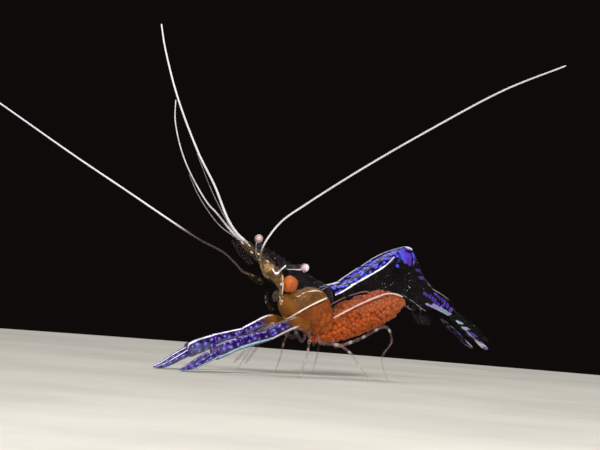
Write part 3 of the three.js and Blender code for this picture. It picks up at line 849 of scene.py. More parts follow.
abdomen = {
    "back": [(-0.36, 6.13), (1.05, 6.46), (2.05, 6.95), (3.1, 7.53), (4.7, 8.42), (6.4, 9.02), (7.6, 9.14),
             (8.78, 7.6), (9.36, 7.02), (10.0, 6.62), (11.1, 6.2), (12.25, 5.72)],
    "belly": [(-0.45, 4.0), (1.3, 4.75), (2.45, 5.2), (3.55, 5.58), (4.6, 5.85), (5.55, 5.92), (6.5, 5.8),
              (7.9, 5.55), (8.8, 5.35), (9.75, 5.22), (10.9, 5.0), (12.15, 4.66)],
    "halfWidth": [1.14, 1.2, 1.23, 1.22, 1.16, 1.05, 0.92, 0.8, 0.7, 0.6, 0.5, 0.44],
    "joints": [0, 1, 3, 6, 7, 9, 11],
    "length": 13.6, "halfGirth": 2.2,  # of the lie map
    "wall": 0.04,
    "tuck": 0.07,  # how far a ring slides under the one before
    "pace": 0.9,  # the length of a step of the back
    "inset": 0.01, "slip": 0.06, "firstInset": 0.03,  # slip is how much deeper the front of a ring lies
    "open": 100, "closed": 178,  # the degrees from the back that a ring reaches, with a flap and without
    "flap": {
        "drops": [0.2, 0.72, 0.48, 0.34, 0.5, 0.0], "turn": 24, "fall": 0.82, "corner": 0.04, "sweep": 0.35,
        "longest": 0.7, "flare": 0.03, "girth": 0.6,
    },
    "hump": ((7.25, 9.12), (0.3, 0.2)),
    "sideLine": [(-0.98, 5.32), (-0.11, 5.60), (0.81, 6.0), (2.75, 6.95), (3.97, 7.53), (5.32, 8.36)],
    "stripe": [(-0.7, 3.86), (1.57, 4.88), (3.64, 5.63), (4.86, 5.88), (6.24, 5.72)],
}


def turnedAway(tree, low, high):
    return ramp(tree, addNode(tree, "ShaderNodeLayerWeight", {"Blend": 0.5}).outputs["Facing"], low, high)


def backRimHighlight(tree, lie):  # a painted highlight: white painted where the clear cuticle turns away along the back
    upper = ramp(tree, maths(tree, "ABSOLUTE", lie[1]), 0.5, 0.7, 1, 0)
    for joint in abdomen["joints"][1:-1]:  # but not round the open ends of the rings
        end = joint / (len(abdomen["back"]) - 1) * abdomen["length"] + 0.05
        away = apart(tree, lie[0], end)
        upper = bothOf(tree, upper, ramp(tree, away, 0.08, 0.2))
    return bothOf(tree, turnedAway(tree, 0.73, 0.84), upper)


# a painted highlight: white painted on the hump where it turns away
def humpHighlight(tree, place):
    return bothOf(tree, patch(tree, place, *abdomen["hump"], 0.2), turnedAway(tree, 0.5, 0.75))


def bandMaterial():  # rings 1 to 3: a navy band with bright spots between the back and the white side line, and a painted highlight along the back
    material, tree, shader, place, colour, cover = makeSheen(
        "bandedShell", [tint["clear"], tint["haze"]], [0.012, 0.028], rough=0.16, flecks=0.05,
        Specular_IOR_Level=0.06,
    )
    parts = split(tree, place)
    lie = lieMap(tree)
    side = heightLine(tree, parts[0], abdomen["sideLine"])
    offset = maths(tree, "SUBTRACT", parts[2], side)
    band = bothOf(tree, ramp(tree, offset, -0.02, 0.06), ramp(tree, parts[0], -0.62, -0.4))
    unrolled = addNode(tree, "ShaderNodeCombineXYZ", {0: parts[0], 1: split(tree, lie)[1]}).outputs[0]
    squeezed = squeeze(tree, wobbled(tree, unrolled, 3.5, 0.2), (0.72, 1.1, 1.0))
    spots = useGroup(
        tree, pigmentSpots, Place=squeezed, Scale=3.3, Scatter=0.75, Size=0.38, Core=0.1, Edge=0.1
    )
    blue = blend(tree, spots["Pick"], tint["blue"], tint["blueViolet"])
    blue = blend(tree, bothOf(tree, spots["Core"], 0.12), blue, tint["paleBlue"])
    colour = blend(tree, band, colour, blend(tree, spots["Spot"], tint["navy"], blue))
    whiteLine = lineMask(tree, place, abdomen["sideLine"], 0.03, broken=0.3)
    # a painted highlight along the back, fainter towards the hump
    ridgeHighlight = bothOf(tree, backRimHighlight(tree, split(tree, lie)), ramp(tree, parts[0], 4.2, 6.2, 1, 0.35))
    near = lineMask(tree, place, abdomen["stripe"], 0.04)
    dashed = lineMask(tree, place, abdomen["stripe"], 0.03, broken=1.0)
    stripe = lerp(tree, ramp(tree, parts[1], -0.1, 0.1), near, dashed)
    blot = patch(tree, wobbled(tree, place, 2.0, 0.5), (6.56, 8.4), (0.6, 0.56), 0.2)
    single = patch(tree, place, (5.43, 7.78), (0.17, 0.12), 0.1)
    streak = ramp(tree, noiseAt(tree, place, 2.6), 0.4, 0.62)
    blotColour = blend(tree, streak, tint["violet"], tint["blueViolet"])
    blotColour = blend(tree, ramp(tree, parts[0], 6.05, 6.55, 1, 0), blotColour, tint["blue"])
    colour = blend(tree, eitherOf(tree, blot, single), colour, blotColour)
    colour = blend(tree, stripe, colour, tint["rose"])
    # white: the side line is pigment, and the whites on the ridge and the hump are painted highlights
    whitesAndHighlights = eitherOf(tree, eitherOf(tree, whiteLine, ridgeHighlight), humpHighlight(tree, place))
    veil = bothOf(tree, ramp(tree, offset, -2.2, -1.2, 1, 0), ramp(tree, parts[0], 5.8, 7.2, 1, 0))
    cover = maths(tree, "MULTIPLY_ADD", veil, 0.02, cover)
    cover = coverWith(tree, cover, (band, 0.95), (blot, 0.88), (single, 0.9), (stripe, 0.8), (whitesAndHighlights, 0.97))
    paint(tree, shader, blend(tree, whitesAndHighlights, colour, tint["white"]), cover)
    return material


tailSpots = {
    "back": [((8.17, 8.03), (0.2, 0.18)), ((8.56, 7.56), (0.18, 0.18)), ((9.02, 7.06), (0.22, 0.2)),
             ((9.45, 6.68), (0.18, 0.15))],
    "side": [((6.95, 8.5), (0.7, 0.7)), ((10.1, 6.08), (0.15, 0.13)), ((10.35, 5.95), (0.09, 0.15)),
             ((10.62, 5.86), (0.1, 0.17)), ((10.88, 5.75), (0.09, 0.16)), ((11.15, 5.55), (0.16, 0.24)),
             ((11.5, 5.36), (0.17, 0.22)), ((11.95, 5.1), (0.2, 0.2)), ((9.57, 4.75), (0.22, 0.12)),
             ((11.0, 5.3), (0.12, 0.1))],
}
tailLines = {
    "pale": [(10.1, 5.3), (10.9, 5.1), (11.6, 4.92), (12.3, 4.68)],
    "low": [(6.5, 5.8), (7.9, 5.3), (9.4, 4.72)],
}


def tailRingMaterial():  # rings 4 to 6: clear, with small blue spots down the back, a pale band below and a painted highlight along the back
    material, tree, shader, place, colour, cover = makeSheen(
        "tailRingShell", [tint["clear"], tint["haze"]], [0.012, 0.028], rough=0.16, flecks=0.05,
        Specular_IOR_Level=0.5,
    )
    parts = split(tree, place)
    loose = wobbled(tree, place, 3.0, 0.22)
    blue = patches(tree, loose, tailSpots["back"], 0.2)
    blue = bothOf(tree, blue, ramp(tree, maths(tree, "ABSOLUTE", parts[1]), 0.16, 0.28, 1, 0))
    blue = patches(tree, loose, tailSpots["side"], 0.2, blue)
    streak = ramp(tree, noiseAt(tree, place, 3.0), 0.42, 0.6)
    colour = blend(tree, blue, colour, blend(tree, streak, tint["violet"], tint["blueViolet"]))
    pale = lineMask(tree, loose, tailLines["pale"], 0.11, broken=0.2)
    paleColour = blend(tree, ramp(tree, parts[0], 10.4, 12.0), tint["lilac"], tint["paleBlue"])
    colour = blend(tree, pale, colour, paleColour)
    shown = bothOf(tree, ramp(tree, parts[0], 9.0, 9.6, 0, 0.7), ramp(tree, parts[0], 11.6, 12.1, 1, 0))
    # rim is a painted highlight along the back of rings 4 to 6
    rim = bothOf(tree, backRimHighlight(tree, split(tree, lieMap(tree))), shown)
    low = lineMask(tree, place, tailLines["low"], 0.016, broken=0.6)
    # white: the thin low line, and the painted highlights on the back and the hump
    whitesAndHighlights = eitherOf(tree, eitherOf(tree, rim, bothOf(tree, low, 0.4)), humpHighlight(tree, place))
    cover = coverWith(tree, cover, (blue, 0.72), (pale, 0.6), (whitesAndHighlights, 0.8))
    paint(tree, shader, blend(tree, whitesAndHighlights, colour, tint["white"]), cover)
    return material


def ringSpot(number, u, v):  # u runs from the front edge to the rear one, and v round the ring
    last = len(abdomen["back"]) - 1
    first, final = abdomen["joints"][number - 1:number + 1]
    opening = first / last
    closing = min(final + abdomen["tuck"] / abdomen["pace"], last) / last
    share = opening + (closing - opening) * u
    flap = abdomen["flap"]
    drop = flap["drops"][number - 1]
    limit = abdomen["open"] if drop else abdomen["closed"]
    signed = 2 * v - 1
    degrees = abs(signed) * (limit + (flap["turn"] if drop else 0))
    inset = abdomen["firstInset"] if number == 1 else abdomen["slip"] * (1 - u) ** 2 + abdomen["inset"]
    spot = trunkSpot(abdomen, share, copysign(radians(min(degrees, limit)), signed), inset)
    hang = max(0, degrees - limit) / flap["turn"]  # how far down the flap, from 0 at its root to 1
    if hang:
        rounding = sin(pi * held(u, flap["corner"], 1 - flap["corner"])) ** 0.5
        down = alongRoute(abdomen["belly"], share) - alongRoute(abdomen["back"], share)
        fall = down.normalized() * hang * (drop * rounding + down.length / 2 * flap["fall"])
        spot += Vector((fall.x, 0, fall.y))
        spot.x += (u - 0.5) * flap["sweep"] * hang * min(drop, flap["longest"])
        spot.y += copysign(flap["flare"] * hang, signed)
    return spot, share * abdomen["length"], signed * (abdomen["halfGirth"] + flap["girth"] * hang)


def makeRing(number, material):
    shape = newShape()
    drawSheet(shape, 28, 76, lambda u, v: ringSpot(number, u, v), lambda middle: Vector((0, middle.y, 0.3)))
    finishPiece(
        f"ring_{number}", shape, material, [f"abdomen_{number}"], wall=abdomen["wall"], closed=False
    )


banded = bandMaterial()
tailRings = tailRingMaterial()
for ringNumber in (1, 2, 3):
    makeRing(ringNumber, banded)
for ringNumber in (4, 5, 6):
    makeRing(ringNumber, tailRings)
print("abdomen rings made")


# the eggs under the abdomen

brood = {
    "back": [(-0.85, 2.6), (0.3, 3.9), (1.3, 4.78), (2.2, 5.22), (2.8, 5.25), (3.5, 5.62), (4.3, 5.72),
             (5.2, 6.1), (5.9, 5.95), (6.85, 5.65)],
    "belly": [(-0.95, 2.38), (0.2, 2.26), (1.3, 2.5), (2.6, 2.88), (4.05, 3.36), (5.5, 3.98), (6.85, 4.85)],
    "halfWidth": [0.5, 0.9, 1.2, 1.32, 1.32, 1.2, 0.72],
    "square": 0.62,  # under one fills the corners of the cross-section
    "core": 0.24, "ends": 8, "axis": 3.8,
    "egg": 0.21, "sizes": (0.88, 1.08), "long": 1.12,  # long is the length of an egg in its widths
    "spacing": 0.36, "rowSpacing": 0.9, "sink": 0.2, "sinks": 0.05, "jitter": 0.06, "shift": 0.35, "seed": 7,
    "dark": (0.36, 0.058, 0.007, 1), "bright": (0.45, 0.092, 0.014, 1),
    # high is a painted highlight: the upper eggs are painted paler, as if lit from above
    "high": (0.46, 0.135, 0.06, 1), "shade": (0.25, 0.045, 0.008, 1),
}


def eggMaterial():
    material, tree, shader, place = newMaterial(
        "eggs", Roughness=0.42, IOR=1.36, Specular_IOR_Level=0.2, Subsurface_Weight=0.4,
        Subsurface_Radius=(1, 0.3, 0.08), Subsurface_Scale=0.25 * mm,
    )
    pick = split(tree, lieMap(tree))[0]
    grain = grainAt(tree, place, 18.0, 0.5)
    colour = blend(tree, pick, brood["dark"], brood["bright"])
    # painted highlight: the eggs are painted paler towards the top
    upper = ramp(tree, split(tree, place)[2], 3.2, 5.8)
    colour = blend(tree, bothOf(tree, upper, 0.6), colour, brood["high"])
    colour = blend(tree, bothOf(tree, grain["Mottle"], 0.3), colour, brood["shade"])
    paint(tree, shader, colour)
    bumpUp(tree, shader, grain["Height"], 0.2)
    return material


def clutchSpot(u, v):  # the dark inside of the clutch, drawn to a point at both ends
    spot = trunkSpot(brood, u, tau * v, brood["core"])
    middle = (trunkSpot(brood, u, 0) + trunkSpot(brood, u, pi)) / 2
    return middle.lerp(spot, rounded(min(u, 1 - u) * brood["ends"], 0)), 0.1, v


def addEgg(clutch, share, turn, length, chance):
    along = share + chance.uniform(-1, 1) * brood["shift"] * brood["spacing"] / length
    spot = trunkSpot(brood, held(along), turn, brood["sink"] + chance.uniform(0, brood["sinks"]))
    size = brood["egg"] * chance.uniform(*brood["sizes"])
    lean = Matrix.Rotation(chance.uniform(0, tau), 4, "X") @ Matrix.Rotation(chance.uniform(0, pi), 4, "Y")
    placed = Matrix.Translation(spot) @ lean @ Matrix.Diagonal((size, size, size * brood["long"], 1))
    pick = chance.random()  # how bright the egg is
    egg = bmesh.ops.create_uvsphere(clutch, u_segments=9, v_segments=6, radius=1, matrix=placed)
    for vert in egg["verts"]:
        mark(clutch, vert, pick, 0)


def makeEggs():
    chance = random.Random(brood["seed"])
    shape = newShape()
    drawSheet(shape, 40, 36, clutchSpot, lambda middle: middle - Vector((middle.x, 0, brood["axis"])))
    bmesh.ops.remove_doubles(shape, verts=shape.verts, dist=1e-5)
    eggCount = 0
    length = sum((Vector(b) - Vector(a)).length for a, b in zip(brood["belly"], brood["belly"][1:]))
    rows = int(length / (brood["spacing"] * brood["rowSpacing"]))
    for row in range(rows + 1):
        share = (row + 0.3) / (rows + 0.6)
        half = between(brood["halfWidth"], share, eased=True)
        high = (alongRoute(brood["back"], share) - alongRoute(brood["belly"], share)).length / 2
        count = max(5, int(pi * (half + high) / brood["spacing"]))
        clutch = newShape()  # each row on its own, which is far quicker than one growing mesh
        for k in range(count):
            turn = tau * (k + 0.5 * (row % 2)) / count + chance.uniform(-1, 1) * brood["jitter"]
            addEgg(clutch, share, turn, length, chance)
        eggCount += count
        rowMesh = bpy.data.meshes.new("clutch")
        clutch.to_mesh(rowMesh)
        clutch.free()
        shape.from_mesh(rowMesh)
        bpy.data.meshes.remove(rowMesh)
    finishPiece("egg_cluster", shape, eggMaterial(), ["egg_mass"], closed=False)
    return eggCount


print("eggs laid:", makeEggs())


# the head: core, mouth, eyes and their stalks

mouth = {
    "jaw": [(-4.61, 0.12, 5.47), (-4.88, 0.17, 5.15), (-4.92, 0.1, 4.75)], "jawWidths": [0.24, 0.26, 0.14],
    "palp": [(-4.56, 0.3, 5.43), (-4.88, 0.24, 5.27), (-5.04, 0.16, 5.0)], "palpWidths": [0.14, 0.13, 0.06],
    "hairs": 9,
}
eyes = {
    "radius": 0.29, "core": 0.2,
    "left": {
        "stalk": [(-5.3, -0.45, 6.98), (-5.1, -1.2, 7.05), (-4.66, -2.02, 7.1)],
        "centre": (-4.61, -2.15, 7.1),
    },
    "right": {
        "stalk": [(-5.3, 0.45, 7.0), (-5.26, 1.5, 7.66), (-4.8, 2.1, 8.65)],
        "centre": (-4.77, 2.15, 8.79),
    },
    "widths": [0.4, 0.36, 0.34, 0.42], "girth": 0.38,
    "milk": [(0.85, 0.72, 0.74, 1), (0.97, 0.96, 0.97, 1)],
    "retina": [(0.78, 0.36, 0.36, 1), (0.9, 0.55, 0.52, 1)],
}


def headMaterial():
    material, tree, shader, place, colour, cover = makeSheen(
        "headTissue", [tint["brown"], tint["oliveDark"]], [1, 0.85], rough=0.6, clouds=2.4, pits=11, bump=1.0,
        Specular_IOR_Level=0.2,
    )
    waver = noiseAt(tree, place, 4.0)
    ragged = wobbled(tree, place, 9.0, 0.3)
    tan = eitherOf(tree, *[patch(tree, ragged, centre, reach, 0.6) for centre, reach in head["snout"]])
    tan = bothOf(tree, tan, ramp(tree, waver, 0.35, 0.6, 0.35, 1))
    tan = eitherOf(tree, tan, bothOf(tree, ramp(tree, waver, 0.54, 0.72), 0.5))
    colour = blend(tree, tan, colour, tint["tan"])
    flank = alongside(tree, place)
    bridle = lineMask(tree, wobbled(tree, flank, 7.0, 0.1), head["bridle"], 0.055)
    cheek = lineMask(tree, flank, head["cheekLine"], 0.045, broken=0.2, upright=True)
    blob = patch(tree, flank, *head["spots"][2], 0.1)
    colour = blend(tree, eitherOf(tree, cheek, blob), colour, tint["cream"])
    marks = eitherOf(tree, eitherOf(tree, bridle, cheek), eitherOf(tree, tan, blob))
    paint(tree, shader, blend(tree, bridle, colour, tint["white"]), eitherOf(tree, cover, marks))
    return material


def makeHead():
    shape = newShape()
    drawTube(shape, coreStations(head["core"], 36, 1 / 9, eased=True), 32)
    for vert in shape.verts:
        out = Vector((0, vert.co.y, vert.co.z - head["axis"]))
        vert.co += out.normalized() * noise.noise(vert.co * head["ripple"]) * head["high"]
    finishPiece("head_core", shape, headMaterial(), ["head_front"], girth=3)


def makeMouth():
    shape = newShape()
    for side in sides.values():
        palp = mirrored(mouth["palp"], side)
        drawLimb(shape, mirrored(mouth["jaw"], side), mouth["jawWidths"], 10, steps=16)
        drawLimb(shape, palp, mouth["palpWidths"], 8, steps=14)
        for k in range(mouth["hairs"]):
            root = alongRoute(palp, 0.35 + 0.07 * k)
            drawSpike(shape, root, root + Vector((-0.1, 0.03 * side, -0.12)), hairRadius)
    material = makeSheen(
        "mouthParts", [tint["brown"], tint["haze"]], [0.24, 0.12], rough=0.4, clouds=3.0, pits=18, bump=0.6
    )[0]
    finishPiece("mouth_palps", shape, material, ["mouthparts"], girth=0.7)


def stalkMaterial():
    material, tree, shader, place, colour, cover = makeSheen(
        "eyestalk", [tint["clear"], tint["haze"]], [0.06, 0.14], rough=0.2, clouds=2.0
    )
    lie = split(tree, lieMap(tree))
    offset = roundOffset(tree, lie, pi * eyes["girth"], 0.9)
    line = stroke(tree, place, offset, 0.045, 0.03, 0.2)
    line = bothOf(tree, line, ramp(tree, lie[0], 0.6, 0.75))
    line = eitherOf(tree, line, lineMask(tree, alongside(tree, place), head["bridle"], 0.06))
    paint(tree, shader, blend(tree, line, colour, tint["white"]), eitherOf(tree, cover, line))
    return material


def corneaMaterial():  # a glassy ball, milky towards its far end
    material, tree, shader, place = newMaterial(
        "cornea", Roughness=0.06, IOR=1.45, Coat_Weight=0.6, Coat_Roughness=0.03
    )
    out = split(tree, lieMap(tree))[0]
    wires = {"Vector": place, "Scale": 22.0}
    facets = addNode(tree, "ShaderNodeTexVoronoi", wires, feature="DISTANCE_TO_EDGE").outputs["Distance"]
    grain = grainAt(tree, place, 16.0, 3.0)
    milk = ramp(tree, maths(tree, "MULTIPLY_ADD", grain["Mottle"], 0.3, out), 0.35, 0.95)
    paint(tree, shader, blend(tree, milk, *eyes["milk"]), ramp(tree, milk, 0, 1, 0.22, 0.85))
    bumpUp(tree, shader, facets, 0.12)
    return material


def retinaMaterial():
    material, tree, shader, place = newMaterial("retina", Roughness=0.35)
    grain = grainAt(tree, place, 20.0, 4.0)
    paint(tree, shader, blend(tree, grain["Mottle"], *eyes["retina"]))
    bumpUp(tree, shader, grain["Height"], 0.4)
    return material


def makeEyes():
    stalkLook, corneaLook, retinaLook = stalkMaterial(), corneaMaterial(), retinaMaterial()
    for label in sides:
        setup = eyes[label]
        makeLimb(f"stalk_{label}", setup["stalk"], eyes["widths"], stalkLook, "clear_shell",
                 [f"eyestalk_{label}"], segments=18, outward=(-1, 0, 0))
        centre = Vector(setup["centre"])
        ahead = (Vector(setup["stalk"][-1]) - Vector(setup["stalk"][-2])).normalized()
        for name, radius, look, stands in (
            ("retina", eyes["core"], retinaLook, []), ("cornea", eyes["radius"], corneaLook, [f"eye_{label}"])
        ):
            shape = newShape()
            for vert in drawBall(shape, centre, radius):
                mark(shape, vert, (vert.co - centre).dot(ahead) / radius, 0)
            finishPiece(f"{name}_{label}", shape, look, stands)


makeHead()
makeMouth()
makeEyes()
print("head, mouth and eyes made")


# feelers: the jointed roots, the long antennae and the pairs of whips

antennule = {
    "widths": [0.52, 0.46, 0.4, 0.34],
    "left": [(-5.62, -0.35, 7.05), (-6.35, -0.36, 7.42), (-7.2, -0.36, 7.82), (-8.2, -0.36, 8.38)],
    "right": [(-5.62, 0.35, 7.05), (-6.4, 0.36, 7.5), (-7.25, 0.36, 7.98), (-8.22, 0.36, 8.56)],
    "joints": [0.85, 1.78, 2.8],
}
whips = {
    "left": {
        "outer": [(-8.2, -0.37, 8.38), (-9.3, -0.4, 9.0), (-10.25, -0.48, 9.86), (-11.65, -0.6, 11.75),
                  (-13.4, -0.7, 13.75), (-15.6, -0.8, 17.0), (-16.95, -0.8, 19.9), (-17.4, -0.8, 21.3)],
        "inner": [(-8.2, -0.37, 8.38), (-9.5, -0.75, 8.7), (-11.0, -1.2, 9.7), (-12.9, -1.6, 11.5),
                  (-14.5, -1.8, 13.6)],
        "radii": [0.09, 0.078, 0.066, 0.056, 0.046],
        "pale": (0.86, 0.84, 0.90, 1), "cover": (1, 0.9),
    },
    "right": {
        "outer": [(-8.22, 0.37, 8.57), (-9.02, 0.5, 9.17), (-10.02, 0.8, 10.14), (-10.73, 1.0, 10.75),
                  (-12.39, 1.6, 13.3), (-13.0, 2.1, 15.67), (-12.85, 2.4, 17.1)],
        "inner": [(-8.22, 0.37, 8.57), (-9.2, 1.15, 9.3), (-9.9, 1.8, 10.3), (-10.6, 2.2, 11.4),
                  (-11.1, 2.5, 12.5)],
        "radii": [0.075, 0.062, 0.05, 0.042, 0.034],
        "pale": (0.55, 0.46, 0.44, 1), "cover": (0.85, 0.55),
    },
    "thin": [0.04, 0.035, 0.03, 0.022], "thinPale": (0.50, 0.42, 0.40, 1),
    "bristles": 46,
    "base": {"length": 0.5, "colour": (0.6, 0.5, 0.45, 1), "cover": 0.9},
}
antennaRoot = {
    "widths": [0.56, 0.54, 0.36], "joints": [0.55, 1.15],
    "left": [(-5.2, -0.86, 5.95), (-5.75, -1.0, 6.02), (-6.95, -1.12, 6.3)],
    "right": [(-5.2, 0.86, 5.95), (-5.7, 1.0, 6.06), (-6.42, 1.12, 6.4)],
}
antenna = {
    "radii": [0.085, 0.07, 0.064, 0.062, 0.06, 0.055, 0.045], "pale": (0.82, 0.80, 0.84, 1),
    "left": [(-6.85, -1.12, 6.28), (-7.2, -1.18, 6.4), (-7.95, -1.45, 7.2), (-8.25, -1.75, 7.85),
             (-8.45, -2.3, 8.55), (-8.3, -3.4, 9.85), (-8.0, -5.2, 11.05), (-7.6, -9.5, 13.44),
             (-7.2, -14.5, 15.95), (-6.95, -19.9, 18.36), (-6.86, -24.3, 19.76)],
    "right": [(-6.35, 1.12, 6.4), (-6.64, 1.36, 6.5), (-6.85, 2.15, 7.12), (-7.15, 2.9, 7.7),
              (-7.88, 4.5, 8.42), (-9.0, 6.1, 9.47), (-11.0, 8.6, 11.28), (-13.15, 11.4, 13.25),
              (-16.6, 15.6, 16.44), (-19.9, 19.6, 19.45)],
    "base": {
        "left": {"length": 3.0, "colour": (0.26, 0.15, 0.07, 1), "cover": 0.7},
        "right": {"length": 6.6, "colour": (0.20, 0.12, 0.08, 1), "cover": 0.2},
    },
}


feelerRings = {"pace": 0.11, "colour": (0.45, 0.42, 0.45, 1)}


def feelerMaterial(name, base, pale, cover):
    # a finely ringed feeler: base is the colour, cover and length of its darker root
    material, tree, shader, place = newMaterial(name, Roughness=0.35, IOR=1.4)
    lie = split(tree, lieMap(tree))
    rings = maths(tree, "SINE", maths(tree, "MULTIPLY", lie[0], tau / feelerRings["pace"]))
    groove = ramp(tree, rings, -1.0, -0.4)
    grain = grainAt(tree, place, 9.0, 0.8)
    colour = blend(tree, grain["Mottle"], pale, tint["white"])
    grooved = bothOf(tree, maths(tree, "SUBTRACT", 1.0, groove), 0.3)
    colour = blend(tree, grooved, colour, feelerRings["colour"])
    rooted = ramp(tree, lie[0], base["length"] * 0.75, base["length"], 1, 0)
    colour = blend(tree, rooted, colour, base["colour"])
    outward = ramp(tree, lie[0], 0, 34, *cover)
    rooted = ramp(tree, lie[0], base["length"] * 0.6, base["length"] * 1.1, base["cover"], 1)
    paint(tree, shader, colour, bothOf(tree, outward, rooted))
    bumpUp(tree, shader, groove, 0.5)
    return material


def feelerStations(path, radii, steps):
    stations = []
    for k in range(steps + 1):
        radius = between(radii, k / steps) * (0.35 if k == steps else 1)
        stations.append((alongRoute(path, k / steps), radius, radius))
    return stations


def addBristles(shape, path, radii, count, chance):  # short hairs under the first third of a whip
    for k in range(count):
        share = 0.01 + 0.3 * k / count
        root = alongRoute(path, share)
        ahead = (alongRoute(path, share + 0.01) - root).normalized()
        out = Vector((chance.uniform(-1, 1), chance.uniform(-1, 1), -1.2)).normalized()
        length = between(radii, share) + chance.uniform(0.08, 0.2) * (1 - share * 2.5)
        drawSpike(shape, root, root + ahead * 0.16 + out * length, 0.014, 3, along=share * 10)


def bandedLimbMaterial(name, colours, alpha, joints, bandColour, width, strength):
    # a clear limb with a pale band at each of its joints
    material, tree, shader, place, colour, cover = makeSheen(
        name, colours, alpha, rough=0.3, clouds=1.4, flecks=0.15
    )
    lie = split(tree, lieMap(tree))
    waver = noiseAt(tree, place, 5.0, 2.0)
    bands = 0.0
    for joint in joints:
        away = apart(tree, lie[0], joint)
        away = maths(tree, "MULTIPLY_ADD", waver, width, away)
        bands = eitherOf(tree, bands, ramp(tree, away, width, width * 1.6, 1, 0))
    paint(tree, shader, blend(tree, bands, colour, bandColour), coverWith(tree, cover, (bands, strength)))
    return material


def markedLimbMaterial(name, colours, alpha, marks, markColour, girth, reach, where, strength=0.95):
    # a clear limb with a small pale mark on the outer side of each joint
    material, tree, shader, place, colour, cover = makeSheen(
        name, colours, alpha, rough=0.25, clouds=1.8, flecks=0.1
    )
    lie = split(tree, lieMap(tree))
    off = maths(tree, "DIVIDE", roundOffset(tree, lie, girth, where), reach[1])
    waver = noiseAt(tree, place, 6.0, 2.0)
    spots = 0.0
    for at in marks:
        ahead = maths(tree, "DIVIDE", maths(tree, "SUBTRACT", lie[0], at), reach[0])
        away = maths(tree, "SQRT", sumOfSquares(tree, ahead, off))
        away = maths(tree, "MULTIPLY_ADD", waver, 0.5, away)
        spots = eitherOf(tree, spots, ramp(tree, away, 1.0, 1.3, 1, 0))
    paint(tree, shader, blend(tree, spots, colour, markColour), coverWith(tree, cover, (spots, strength)))
    return material


def makeFeelers():
    chance = random.Random(11)
    rootLook = markedLimbMaterial(
        "antennuleShell", [tint["brown"], tint["haze"]], [0.26, 0.1], antennule["joints"], tint["cream"],
        girthOf(antennule["widths"]), (0.17, 0.05), 0.84,
    )
    baseLook = markedLimbMaterial(
        "antennaBase", [tint["brown"], tint["haze"]], [0.07, 0.03], antennaRoot["joints"], tint["tan"],
        girthOf(antennaRoot["widths"]), (0.16, 0.12), 0.7, strength=0.22,
    )
    antennaLooks = {
        label: feelerMaterial(f"antennaSkin_{label}", antenna["base"][label], antenna["pale"], (1, 0.75))
        for label in sides
    }
    whipLooks = {
        label: feelerMaterial(f"whipSkin_{label}", whips["base"], whips[label]["pale"], whips[label]["cover"])
        for label in sides
    }
    thinLook = feelerMaterial("thinWhipSkin", whips["base"], whips["thinPale"], (0.2, 0.1))
    for label in sides:
        makeLimb(f"antennule_stem_{label}", antennule[label], antennule["widths"], rootLook, "clear_shell",
                 [f"antennule_{label}"], steps=40, knots=0.12)
        makeLimb(f"antenna_base_{label}", antennaRoot[label], antennaRoot["widths"], baseLook, "tinted_shell",
                 [f"antenna_root_{label}"], steps=32, knots=0.1, flat=0.85)
        shape = newShape()
        drawTube(shape, feelerStations(antenna[label], antenna["radii"], 260), 9)
        finishPiece(
            f"antenna_feeler_{label}", shape, antennaLooks[label], [f"antenna_{label}"], girth=0.4
        )
        pair = whips[label]
        upright = {"rise": (0, 1, 0), "outward": (0, 0, 1)}
        shape = newShape()
        drawTube(shape, feelerStations(pair["outer"], pair["radii"], 180), 9, **upright)
        addBristles(shape, pair["outer"], pair["radii"], whips["bristles"], chance)
        finishPiece(
            f"whip_{label}", shape, whipLooks[label], [f"antennule_whips_{label}"], girth=0.4
        )
        shape = newShape()
        drawTube(shape, feelerStations(pair["inner"], whips["thin"], 90), 7, **upright)
        finishPiece(f"thin_whip_{label}", shape, thinLook, girth=0.2)


makeFeelers()
print("feelers made")


# flat leaves: antenna scales, swimmerets and the tail fan, each with a fringe of hairs

leafEdges = {  # half widths as shares of the leaf's width, from the root to the tip
    "scale": {"at": [0, 0.12, 0.45, 0.8, 0.93, 1], "inner": [0.25, 0.42, 0.5, 0.45, 0.33, 0.1],
              "outer": [0.3, 0.44, 0.5, 0.46, 0.44, 0.26]},
    "tail": {"at": [0, 0.2, 0.6, 0.88, 1], "inner": [0.25, 0.42, 0.5, 0.42, 0.1],
             "outer": [0.25, 0.42, 0.5, 0.42, 0.1]},
    "swim": {"at": [0, 0.15, 0.5, 0.85, 1], "inner": [0.15, 0.35, 0.48, 0.36, 0.08],
             "outer": [0.15, 0.35, 0.48, 0.36, 0.08]},
}
leafRib = {"high": 0.035, "wide": 0.12}


def edgeAt(edges, side, share):
    spots = edges["at"]
    for k in range(len(spots) - 1):
        if share <= spots[k + 1]:
            t = (share - spots[k]) / (spots[k + 1] - spots[k])
            t = t * t * (3 - 2 * t)
            return edges[side][k] * (1 - t) + edges[side][k + 1] * t
    return edges[side][-1]


